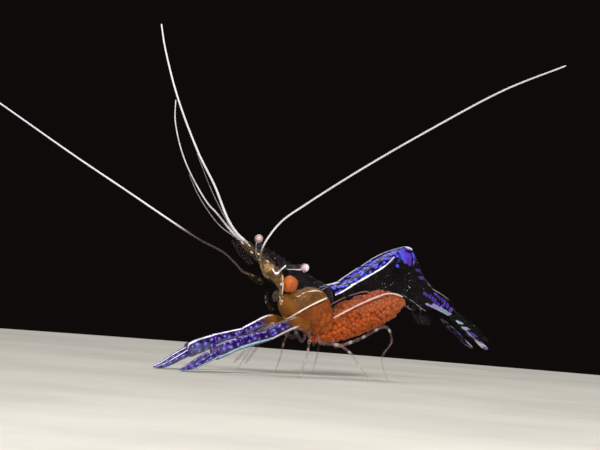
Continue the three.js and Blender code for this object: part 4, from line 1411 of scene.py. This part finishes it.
def drawLeaf(shape, root, tip, across, width, kind, camber=0.06, hairs=0, hair=0.25, lengthwise=26):
    root, tip = Vector(root), Vector(tip)
    ahead = (tip - root).normalized()
    normal = ahead.cross(Vector(across)).normalized()
    aside = normal.cross(ahead).normalized()
    length = (tip - root).length
    edges = leafEdges[kind]

    def spotAt(u, v):
        signed = 2 * v - 1
        half = edgeAt(edges, "outer" if signed > 0 else "inner", u) * width
        spot = root + ahead * (length * u) + aside * (signed * half)
        rib = leafRib["high"] * bell(signed, 0, leafRib["wide"]) * (1 - u)
        return spot + normal * (camber * (1 - signed * signed) + rib)

    def place(u, v):
        return spotAt(u, v), u * length, (2 * v - 1) * width / 2

    drawSheet(shape, lengthwise, 14, place, lambda middle: normal)
    for k in range(hairs):
        share = 0.3 + 0.7 * (k + 0.5) / hairs  # the fringe leaves the first third bare
        for v in (0, 1):
            spot = spotAt(share, v)
            flare = aside * (1 if v else -1) * (1.15 - share) + ahead * (share + 0.1)
            drawSpike(shape, spot, spot + flare.normalized() * hair, hairRadius, 3, along=share * length)


fanMarks = {
    "violet": [((13.8, 3.36), (0.42, 0.26)), ((14.75, 2.8), (0.42, 0.24)), ((15.5, 2.5), (0.22, 0.16))],
    "bright": [((12.4, 4.22), (0.42, 0.17)), ((13.05, 3.8), (0.36, 0.16))],
    "line": [(13.3, 3.72), (14.2, 3.2), (15.2, 2.72), (15.9, 2.42)],
    "loop": ((15.95, 2.3), (0.1, 0.12)),
}


def fanMaterial():
    material, tree, shader, place, colour, cover = makeSheen(
        "fanLeaf", [tint["clear"], tint["haze"]], [0.022, 0.045], rough=0.2, flecks=0.12
    )
    loose = wobbled(tree, place, 2.6, 0.3)
    violet = patches(tree, loose, fanMarks["violet"], 0.5)
    bright = patches(tree, loose, fanMarks["bright"], 0.45)
    streak = ramp(tree, noiseAt(tree, place, 3.4), 0.4, 0.6)
    colour = blend(tree, violet, colour, blend(tree, streak, tint["violet"], tint["blueViolet"]))
    colour = blend(tree, bright, colour, blend(tree, streak, tint["lilac"], tint["paleBlue"]))
    line = lineMask(tree, place, fanMarks["line"], 0.022, broken=0.5)
    white = eitherOf(tree, line, patch(tree, place, *fanMarks["loop"], 0.2))
    faded = ramp(tree, split(tree, place)[1], 0.3, 0.6, 1, 0.07)  # fainter on the right blades
    for mask, strength in ((violet, 0.68), (bright, 0.76), (white, 0.5)):
        cover = coverWith(tree, cover, (bothOf(tree, mask, strength), faded))
    paint(tree, shader, blend(tree, white, colour, tint["white"]), cover)
    return material


leafWall = 0.04
tail = {
    "root": (12.35, 0, 5.08), "slope": 0.57, "start": 0.15,
    "telson": {
        "length": 3.9, "halfWidths": [0.36, 0.32, 0.25, 0.14], "halfHeight": 0.16, "thins": 0.6, "end": 0.06,
        "spines": 6, "spineRoot": 0.985, "spine": 0.018,
    },
    "inner": {"length": 4.05, "width": 0.5, "side": 0.68, "drop": 0.06},
    "outer": {"length": 4.25, "width": 0.66, "side": 0.72, "drop": 0.62},
    "hair": 0.13, "room": 0.14, "narrow": 0.96,  # the hairs need room at the end and sides of the solid
    "hinge": [(3.0, 0.3), (3.3, 0.34)],  # the spine of the outer blade, ahead and aside
}
scaleLeaf = {
    "left": [(-6.12, -1.05, 6.78), (-8.02, -1.05, 8.42)], "right": [(-6.34, 1.1, 7.06), (-8.05, 1.08, 8.6)],
    "bare": 0.94, "tilt": -0.12, "width": 0.78,
}
swimmeret = {
    "roots": [(0.7, 1.14, 3.54), (2.1, 1.14, 4.02), (3.5, 1.14, 4.56), (4.9, 1.14, 5.06), (8.9, 0.34, 4.42)],
    "lean": (1, 0, 0.05), "lastLean": (1, 0, -0.3), "length": 1.2, "width": 0.6, "wall": 0.03,
    "stems": [(-0.2, 0, 0.7), (-0.2, 0, 0.75), (-0.2, 0, 0.75), (-0.2, 0, 0.65), (-0.12, 0, 0.85)],
    "stemWidths": [0.2, 0.16, 0.1], "innerLength": 0.8, "innerWidth": 0.7,
}


def makeTailSpine(root, ahead, look):
    shape = newShape()
    setup = tail["telson"]
    stations = []
    for k in range(31):
        share = k / 30
        half = between(setup["halfWidths"], share) * rounded((1 - share) / setup["end"], 0.05)
        high = setup["halfHeight"] * (1 - setup["thins"] * share)
        stations.append((root + ahead * share * setup["length"], half, high))
    drawTube(shape, stations, 20)
    tip = root + ahead * setup["length"] * setup["spineRoot"]
    for k in range(setup["spines"]):
        off = 2 * k / (setup["spines"] - 1) - 1
        longer = ahead * (0.05 + 0.1 * (1 - abs(off) * 0.5))
        spineRoot, spineTip = tip + Vector((0, off * 0.1, 0)), tip + longer + Vector((0, off * 0.14, 0))
        drawSpike(shape, spineRoot, spineTip, setup["spine"], 5, along=4)
    finishPiece("tail_spine", shape, look, ["telson"], girth=1.5)


def makeTailBlade(kind, label, root, ahead, lift, look):
    setup = tail[kind]
    side = sides[label]
    start = root + ahead * tail["start"] - lift * setup["drop"]
    start.y = side * setup["side"]
    tip = start + ahead * (setup["length"] - tail["room"])
    width = setup["width"] * tail["narrow"]
    shape = newShape()
    drawLeaf(shape, start, tip, (0, side, 0), width, "tail", hairs=26, hair=tail["hair"])
    if kind == "outer":
        hinge = [start + ahead * far + Vector((0, side * aside, 0)) for far, aside in tail["hinge"]]
        drawSpike(shape, *hinge, 0.03, 5)
    stands = [f"tail_{kind}_{label}"]
    finishPiece(f"fan_{kind}_{label}", shape, look, stands, wall=leafWall, closed=False)


def makeTailFan(look):
    root = Vector(tail["root"])
    ahead = Vector((1, 0, -tail["slope"])).normalized()
    lift = Vector((tail["slope"], 0, 1)).normalized()
    makeTailSpine(root, ahead, look)
    for label in sides:
        for kind in ("inner", "outer"):
            makeTailBlade(kind, label, root, ahead, lift, look)


def makeScales(look):
    for label, side in sides.items():
        root, tip = [Vector(spot) for spot in scaleLeaf[label]]
        tip = root.lerp(tip, scaleLeaf["bare"])
        across = (0, side, scaleLeaf["tilt"])
        shape = newShape()
        drawLeaf(shape, root, tip, across, scaleLeaf["width"], "scale", hairs=22, hair=0.12)
        stands = [f"antenna_scale_{label}"]
        finishPiece(f"scale_{label}", shape, look, stands, wall=leafWall, closed=False)


def makeSwimmeret(number, label, look):  # a short stem and its two leaves
    side = sides[label]
    start = Vector(mirrored(swimmeret["roots"], side)[number - 1])
    lean = Vector(swimmeret["lastLean"] if number == 5 else swimmeret["lean"]).normalized()
    stem = Vector(swimmeret["stems"][number - 1])
    shape = newShape()
    path = [start + stem, start + stem * 0.4, start + lean * 0.2]
    drawLimb(shape, path, swimmeret["stemWidths"], 8, steps=14, flat=0.6)
    tip = start + lean * swimmeret["length"]
    width = swimmeret["width"]
    drawLeaf(shape, start, tip, (1, 0, 1), width, "swim", hairs=10, hair=0.14, lengthwise=14, camber=0.03)
    start += lean * 0.1 - Vector((0, side * 0.1, 0))
    tip = start + lean * swimmeret["length"] * swimmeret["innerLength"]
    width *= swimmeret["innerWidth"]
    drawLeaf(shape, start, tip, (1, 0, 1), width, "swim", hairs=7, hair=0.13, lengthwise=12, camber=0.02)
    finishPiece(f"paddle_{number}_{label}", shape, look, [f"swimmeret_{number}_{label}"],
                wall=swimmeret["wall"], closed=False)


def makeSwimmerets(look):
    for label in sides:
        for number in range(1, 6):
            makeSwimmeret(number, label, look)


scaleLook = makeSheen("scaleLeaf", [tint["mauve"], tint["haze"]], [0.02, 0.055], rough=0.2, flecks=0.1)[0]
paddleLook = makeSheen("paddleLeaf", [tint["haze"], tint["clear"]], [0.02, 0.035], rough=0.25, flecks=0.05)[0]
makeTailFan(fanMaterial())
makeScales(scaleLook)
makeSwimmerets(paddleLook)
print("leaves made")


# claws and legs

claw = {
    "arm": [(-2.15, 0.5, 3.75), (-2.95, 0.98, 3.42), (-4.1, 1.12, 3.48), (-6.66, 1.16, 2.51)],
    "armWidths": [0.56, 0.7, 0.84, 0.76],  # it starts inside the chest
    "joints": [3.86, 6.55, 8.5],  # how far along the limb its segments meet
    "wrist": [(-6.46, 1.16, 2.56), (-7.9, 1.17, 2.24), (-9.3, 1.18, 1.91)], "wristWidths": [0.72, 0.8, 0.9],
    "palm": [(-9.12, 1.18, 1.95), (-10.2, 1.2, 1.6), (-11.2, 1.22, 1.24)], "palmWidths": [0.86, 1.0, 0.96],
    "finger": {
        "length": 2.75, "slope": 0.46, "drop": 0.05, "lowest": 0.09, "widths": [0.5, 0.4, 0.3, 0.1],
        "bend": 1.1, "spreads": [0.27, 0.2835, 0.2295, 0.1215],
        "teeth": 12, "toothed": (0.25, 0.68), "tooth": 0.035, "toothHigh": 0.045,
    },
    "starts": {"arm": -0.98, "wrist": 3.8, "palm": 6.5, "fixed": 8.2, "moving": 8.4},  # in the lie map
    "girth": 0.8, "blunt": 0.34,  # how blunt the limb's segments end
}
frontLeg = {
    "path": [(-3.6, 0.34, 3.1), (-4.7, 0.34, 3.25), (-6.0, 0.36, 2.32), (-6.9, 0.42, 1.45),
             (-7.5, 0.49, 0.85)],
    "widths": [0.3, 0.26, 0.22, 0.2, 0.2], "bands": [1.1, 2.7, 3.9],
    "nip": [(-0.08, 0.05), (0.16, 0.06), (0.34, 0.012)], "nipWidths": [0.1, 0.09, 0.03],  # ahead and aside
}
jawLeg = {
    "path": [(-4.5, 0.6, 4.2), (-4.94, 0.6, 4.5), (-5.14, 0.6, 4.95), (-5.14, 0.6, 5.34)],
    "widths": [0.34, 0.3, 0.24, 0.14], "joints": [0.75, 1.1], "hairs": 14,
}
walkingLegs = {
    "widths": [0.3, 0.24, 0.2, 0.16, 0.13, 0.06], "bands": [1.75, 2.8, 4.0, 5.2],
    "bandColour": (0.62, 0.56, 0.55, 1), "sunk": (0.6, 0.55),  # the root is sunk in the chest, inward and up
    "left": {
        3: [(-2.2, -0.8, 2.5), (-3.0, -1.5, 2.3), (-3.9, -2.3, 1.6), (-4.8, -2.9, 0.8), (-5.3, -3.2, 0.05)],
        4: [(-1.3, -0.85, 2.3), (-0.45, -1.75, 2.2), (-0.1, -2.6, 1.7), (0, -3.4, 0.9), (0.4, -4.0, 0.05)],
        5: [(0, -1.0, 2.15), (1.2, -1.78, 2.62), (3.6, -2.15, 3.6), (3.55, -2.75, 2.75), (1.95, -3.45, 1.5),
            (1.92, -4.2, 0.05)],
    },
    "right": {
        3: [(-2.2, 0.8, 2.5), (-2.8, 2.2, 3.0), (-3.4, 2.9, 2.1), (-4.0, 3.3, 1.0), (-4.4, 3.6, 0.05)],
        4: [(-1.3, 0.85, 2.3), (-0.9, 2.3, 3.1), (-0.7, 3.1, 2.1), (-0.5, 3.6, 1.0), (-0.45, 4.0, 0.05)],
        5: [(0, 1.0, 2.15), (1.0, 1.85, 2.9), (2.2, 2.4, 3.4), (2.7, 3.1, 2.2), (2.9, 3.5, 1.1),
            (3.1, 4.0, 0.05)],
    },
}


def clawMaterial():  # dark clear limbs with violet rings round pale centres, and two white lines along each
    material, tree, shader, place, colour, cover = makeSheen(
        "ringedShell", [tint["navy"], tint["night"]], [0.8, 0.6], rough=0.2, flecks=0.1,
        Specular_IOR_Level=0.5,
    )
    lie = lieMap(tree)
    parts = split(tree, lie)
    stretched = squeeze(tree, wobbled(tree, lie, 2.2, 0.22), (1.0, 1.5, 1.0))
    spots = useGroup(
        tree, pigmentSpots, Place=stretched, Scale=1.9, Scatter=0.5, Size=0.37, Core=0.08, Edge=0.12
    )
    violet = blend(tree, spots["Pick"], tint["violet"], tint["blueViolet"])
    pale = blend(tree, bothOf(tree, spots["Core"], 0.8), violet, tint["lilac"])
    shown = bothOf(tree, spots["Spot"], ramp(tree, parts[0], 1.9, 2.7))
    knuckle = 0.0
    for joint in claw["joints"]:
        away = apart(tree, parts[0], joint)
        knuckle = eitherOf(tree, knuckle, ramp(tree, away, 0.1, 0.22, 1, 0))
    shown = bothOf(tree, shown, maths(tree, "SUBTRACT", 1.0, knuckle))
    girth = claw["girth"] * pi
    outer = roundOffset(tree, parts, girth, 0.835)
    shown = bothOf(tree, shown, ramp(tree, maths(tree, "ABSOLUTE", outer), 0.12, 0.26))
    fleshy = ramp(tree, parts[0], 1.1, 2.5, 1, 0)  # the root has the colour of the chest
    colour = blend(tree, fleshy, colour, tint["gold"])
    colour = blend(tree, bothOf(tree, knuckle, 0.7), colour, tint["deepViolet"])
    cover = lerp(tree, fleshy, cover, ramp(tree, parts[0], -0.8, 0.4, 0, 0.75))
    cover = coverWith(tree, cover, (knuckle, 0.6))
    colour = blend(tree, shown, colour, pale)
    drift = ramp(tree, parts[0], 0.8, 2.8, -0.12, 0)
    inner = maths(tree, "ADD", roundOffset(tree, parts, girth, 0.44), drift)
    lines = stroke(tree, place, inner, 0.045, 0.035, 0.3)
    rightSide = ramp(tree, split(tree, place)[1], -0.1, 0.1)
    lines = bothOf(tree, lines, eitherOf(tree, rightSide, ramp(tree, parts[0], 2.9, 3.6, 1, 0.3)))
    lines = bothOf(tree, lines, ramp(tree, parts[0], 0.9, 1.4))
    low = stroke(tree, place, outer, 0.07, 0.035, 0.1)
    low = bothOf(tree, low, ramp(tree, parts[0], 1.0, 1.5))
    colour = blend(tree, lines, colour, tint["white"])
    lowColour = blend(tree, ramp(tree, parts[0], 3.0, 5.0), tint["white"], tint["ice"])
    cover = coverWith(tree, cover, (shown, 0.66), (lines, 0.95), (low, 0.97))
    paint(tree, shader, blend(tree, low, colour, lowColour), cover)
    return material


def fingerPath(way, side, start):  # start is how far behind the end of the palm the finger begins
    setup = claw["finger"]
    x, y, z = claw["palm"][-1]
    spots = []
    backs = (start, -setup["bend"], -0.75 * setup["length"], -setup["length"] + 0.05)
    for back, spread in zip(backs, setup["spreads"]):
        height = max(z - setup["drop"] + back * setup["slope"], setup["lowest"])
        spots.append((x + back, (y + way * spread) * side, height))
    return spots


def addTeeth(shape, path, way, side):  # low teeth along a finger's cutting edge
    setup = claw["finger"]
    first, reach = setup["toothed"]
    for k in range(setup["teeth"]):
        share = first + reach * k / setup["teeth"]
        root = alongRoute(path, share)
        radius = between(setup["widths"], share) / 2
        inward = Vector((0, -way * side, 0))
        tip = root + inward * (radius + setup["toothHigh"])
        drawSpike(shape, root + inward * radius * 0.7, tip, setup["tooth"], 5, along=share * 2)


def drawPart(shape, part, side, steps):
    path = mirrored(claw[part], side)
    out, start = (0, side, 0), claw["starts"][part]
    drawLimb(shape, path, claw[part + "Widths"], 26, out, start, steps=steps, blunt=claw["blunt"])


def drawFinger(shape, kind, way, side, back):
    path = fingerPath(way, side, back)
    drawLimb(shape, path, claw["finger"]["widths"], 16, (0, side, 0), claw["starts"][kind])
    addTeeth(shape, path, way, side)


def makeClaws(look):
    girth = pi * claw["girth"]
    for label, side in sides.items():
        for part in ("arm", "wrist"):
            stands = [f"claw_{part}_{label}"]
            shape = newShape()
            drawPart(shape, part, side, 40)
            finishPiece(f"{part}_{label}", shape, look, stands, girth=girth)
        shape = newShape()
        drawPart(shape, "palm", side, 32)
        drawFinger(shape, "fixed", 1, side, 0.25)
        finishPiece(f"hand_{label}", shape, look, [f"claw_hand_{label}"], girth=girth)
        shape = newShape()
        drawFinger(shape, "moving", -1, side, -0.1)
        finishPiece(f"finger_{label}", shape, look, [f"claw_finger_{label}"], girth=girth)


def makeFrontPincer(label, look):  # the front leg, which ends in two small fingers
    side = sides[label]
    out = (0, side, 0)
    path = mirrored(frontLeg["path"], side)
    shape = newShape()
    drawLimb(shape, path, frontLeg["widths"], 12, out, steps=56, knots=0.2)
    hand = Vector(path[-1])
    ahead = (hand - Vector(path[-2])).normalized()
    for way in (1, -1):
        nip = [hand + ahead * far + Vector((0, aside * way, 0)) for far, aside in frontLeg["nip"]]
        drawLimb(shape, nip, frontLeg["nipWidths"], 8, out, start=5, steps=12)
    finishPiece(f"front_pincer_{label}", shape, look, [f"front_leg_{label}"], girth=0.7)


def makeJawPalp(label, look):  # the short hairy leg beside the mouth
    side = sides[label]
    path = mirrored(jawLeg["path"], side)
    shape = newShape()
    drawLimb(shape, path, jawLeg["widths"], 12, (0, side, 0), steps=36, knots=0.2)
    for k in range(jawLeg["hairs"]):
        root = alongRoute(path, 0.3 + 0.05 * k)
        drawSpike(shape, root, root + Vector((-0.17, -0.05 * side, 0.06)), hairRadius, 3, along=k * 0.09)
    girth = girthOf(jawLeg["widths"])
    finishPiece(f"jaw_palp_{label}", shape, look, [f"jaw_leg_{label}"], girth=girth)


def makeLegs():
    legLook = bandedLimbMaterial(
        "legShell", [tint["rosy"], tint["haze"]], [0.24, 0.1], walkingLegs["bands"],
        walkingLegs["bandColour"], 0.16, strength=0.36,
    )
    frontLook = bandedLimbMaterial(
        "frontLegShell", [tint["mauve"], tint["clear"]], [0.26, 0.12], frontLeg["bands"], tint["lilac"], 0.1,
        strength=0.4,
    )
    jawLook = markedLimbMaterial(
        "jawLegShell", [tint["brown"], tint["clear"]], [0.06, 0.02], jawLeg["joints"], tint["cream"],
        girthOf(jawLeg["widths"]), (0.1, 0.08), 0.8, strength=0.3,
    )
    inward, up = walkingLegs["sunk"]
    for label, side in sides.items():
        for number in (3, 4, 5):
            x, y, z = walkingLegs[label][number][0]
            path = [(x, y * inward, z + up)] + walkingLegs[label][number]
            stands = [f"walking_leg_{number}_{label}"]
            makeLimb(f"leg_{number}_{label}", path, walkingLegs["widths"], legLook, "clear_shell", stands,
                     segments=12, outward=(0, side, 0), steps=70, knots=0.3)
        makeFrontPincer(label, frontLook)
        makeJawPalp(label, jawLook)


makeClaws(clawMaterial())
makeLegs()
print("claws and legs made")
